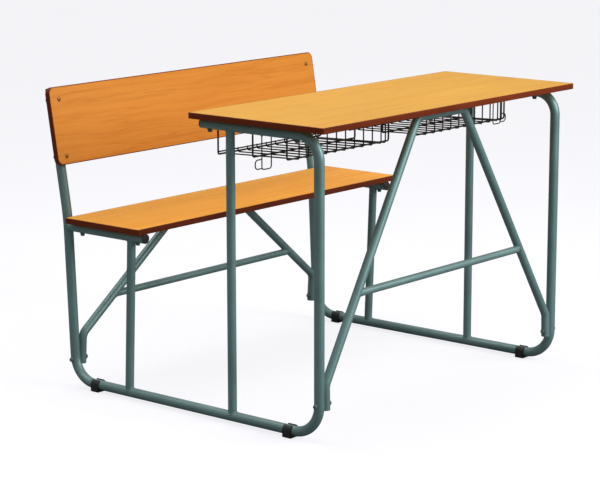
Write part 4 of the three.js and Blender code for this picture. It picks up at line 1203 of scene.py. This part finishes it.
# The paper is lit up to white for the lens alone, so that it doesn't light the desk from below
lens_ray = node(tree, "ShaderNodeLightPath").outputs["Is Camera Ray"]
tree.links.new(spread(tree, lens_ray, 0.0, PAPER_GLOW), shader.inputs["Emission Strength"])
shell = bmesh.new()
floor_corners = ((-FLOOR_HALF, -FLOOR_HALF), (FLOOR_HALF, -FLOOR_HALF),
                 (FLOOR_HALF, FLOOR_HALF), (-FLOOR_HALF, FLOOR_HALF))
shell.faces.new([shell.verts.new((x, y, -FLOOR_DROP)) for x, y in floor_corners])
floor = finished_mesh("studio_floor", shell)
floor.data.materials.append(floor_paper)

# The lens sees plain white beyond the floor
world = bpy.data.worlds.new("studio")
bpy.context.scene.world = world
world.use_nodes = True
sky = world.node_tree
room = sky.nodes["Background"]
room.inputs["Color"].default_value = WHITE
room_place = node(sky, "ShaderNodeTexCoord")
room_height = node(sky, "ShaderNodeSeparateXYZ", {"Vector": room_place.outputs["Generated"]})
room_light = spread(sky, room_height.outputs["Z"], ROOM_LOW, ROOM_HIGH, start=0.0, stop=0.9)
sky.links.new(room_light, room.inputs["Strength"])
white = node(sky, "ShaderNodeBackground", {"Color": WHITE, "Strength": 1.0})
seen = node(sky, "ShaderNodeMixShader", {
    0: node(sky, "ShaderNodeLightPath").outputs["Is Camera Ray"], 1: room.outputs["Background"],
    2: white.outputs["Background"]})
sky.links.new(seen.outputs["Shader"], sky.nodes["World Output"].inputs["Surface"])


def softbox(name, at, aim, size, power):
    """A square soft lamp, its size in metres and its power in watts."""
    lamp = bpy.data.lights.new(name, "AREA")
    lamp.shape = "RECTANGLE"
    lamp.size = size
    lamp.size_y = size
    lamp.energy = power
    obj = bpy.data.objects.new(name, lamp)
    bpy.context.scene.collection.objects.link(obj)
    obj.location = at
    obj.rotation_euler = (Vector(aim) - Vector(at)).to_track_quat("-Z", "Y").to_euler()


softbox("overhead_softbox", at=(-0.4, 0.6, 3.0), aim=(-0.1, 0.1, 0.5), size=2.4, power=52.0)
softbox("front_softbox", at=(1.2, -3.6, 2.4), aim=(0.0, 0.2, 0.6), size=2.2, power=135.0)
bpy.context.scene.view_settings.view_transform = "Standard"

# The camera stands where the photograph's own camera stood, its place measured from the front legs
CAMERA_X = -4.280122
CAMERA_TO_FRONT_LEGS = 3.097272
CAMERA_Z = 1.479617
CAMERA_YAW = 0.876081
CAMERA_PITCH = -0.204628
CAMERA_ROLL = -0.001537
CAMERA_FOCAL_PIXELS = 2149.557
PHOTO_WIDTH_PIXELS = 600

level_ahead = Vector((math.sin(CAMERA_YAW), math.cos(CAMERA_YAW), 0.0))
level_right = Vector((math.cos(CAMERA_YAW), -math.sin(CAMERA_YAW), 0.0))
forward = level_ahead * math.cos(CAMERA_PITCH) + UP * math.sin(CAMERA_PITCH)
level_up = level_right.cross(forward)
right = level_right * math.cos(CAMERA_ROLL) + level_up * math.sin(CAMERA_ROLL)
up = level_up * math.cos(CAMERA_ROLL) - level_right * math.sin(CAMERA_ROLL)
lens = bpy.data.cameras.new("photo_camera")
lens.sensor_fit = "HORIZONTAL"
lens.lens = lens.sensor_width * CAMERA_FOCAL_PIXELS / PHOTO_WIDTH_PIXELS
camera = bpy.data.objects.new("photo_camera", lens)
bpy.context.scene.collection.objects.link(camera)
turn = Matrix((right, up, -forward)).transposed().to_4x4()
camera.matrix_world = Matrix.Translation((CAMERA_X, FRONT_LEG_Y - CAMERA_TO_FRONT_LEGS, CAMERA_Z)) @ turn
bpy.context.scene.camera = camera
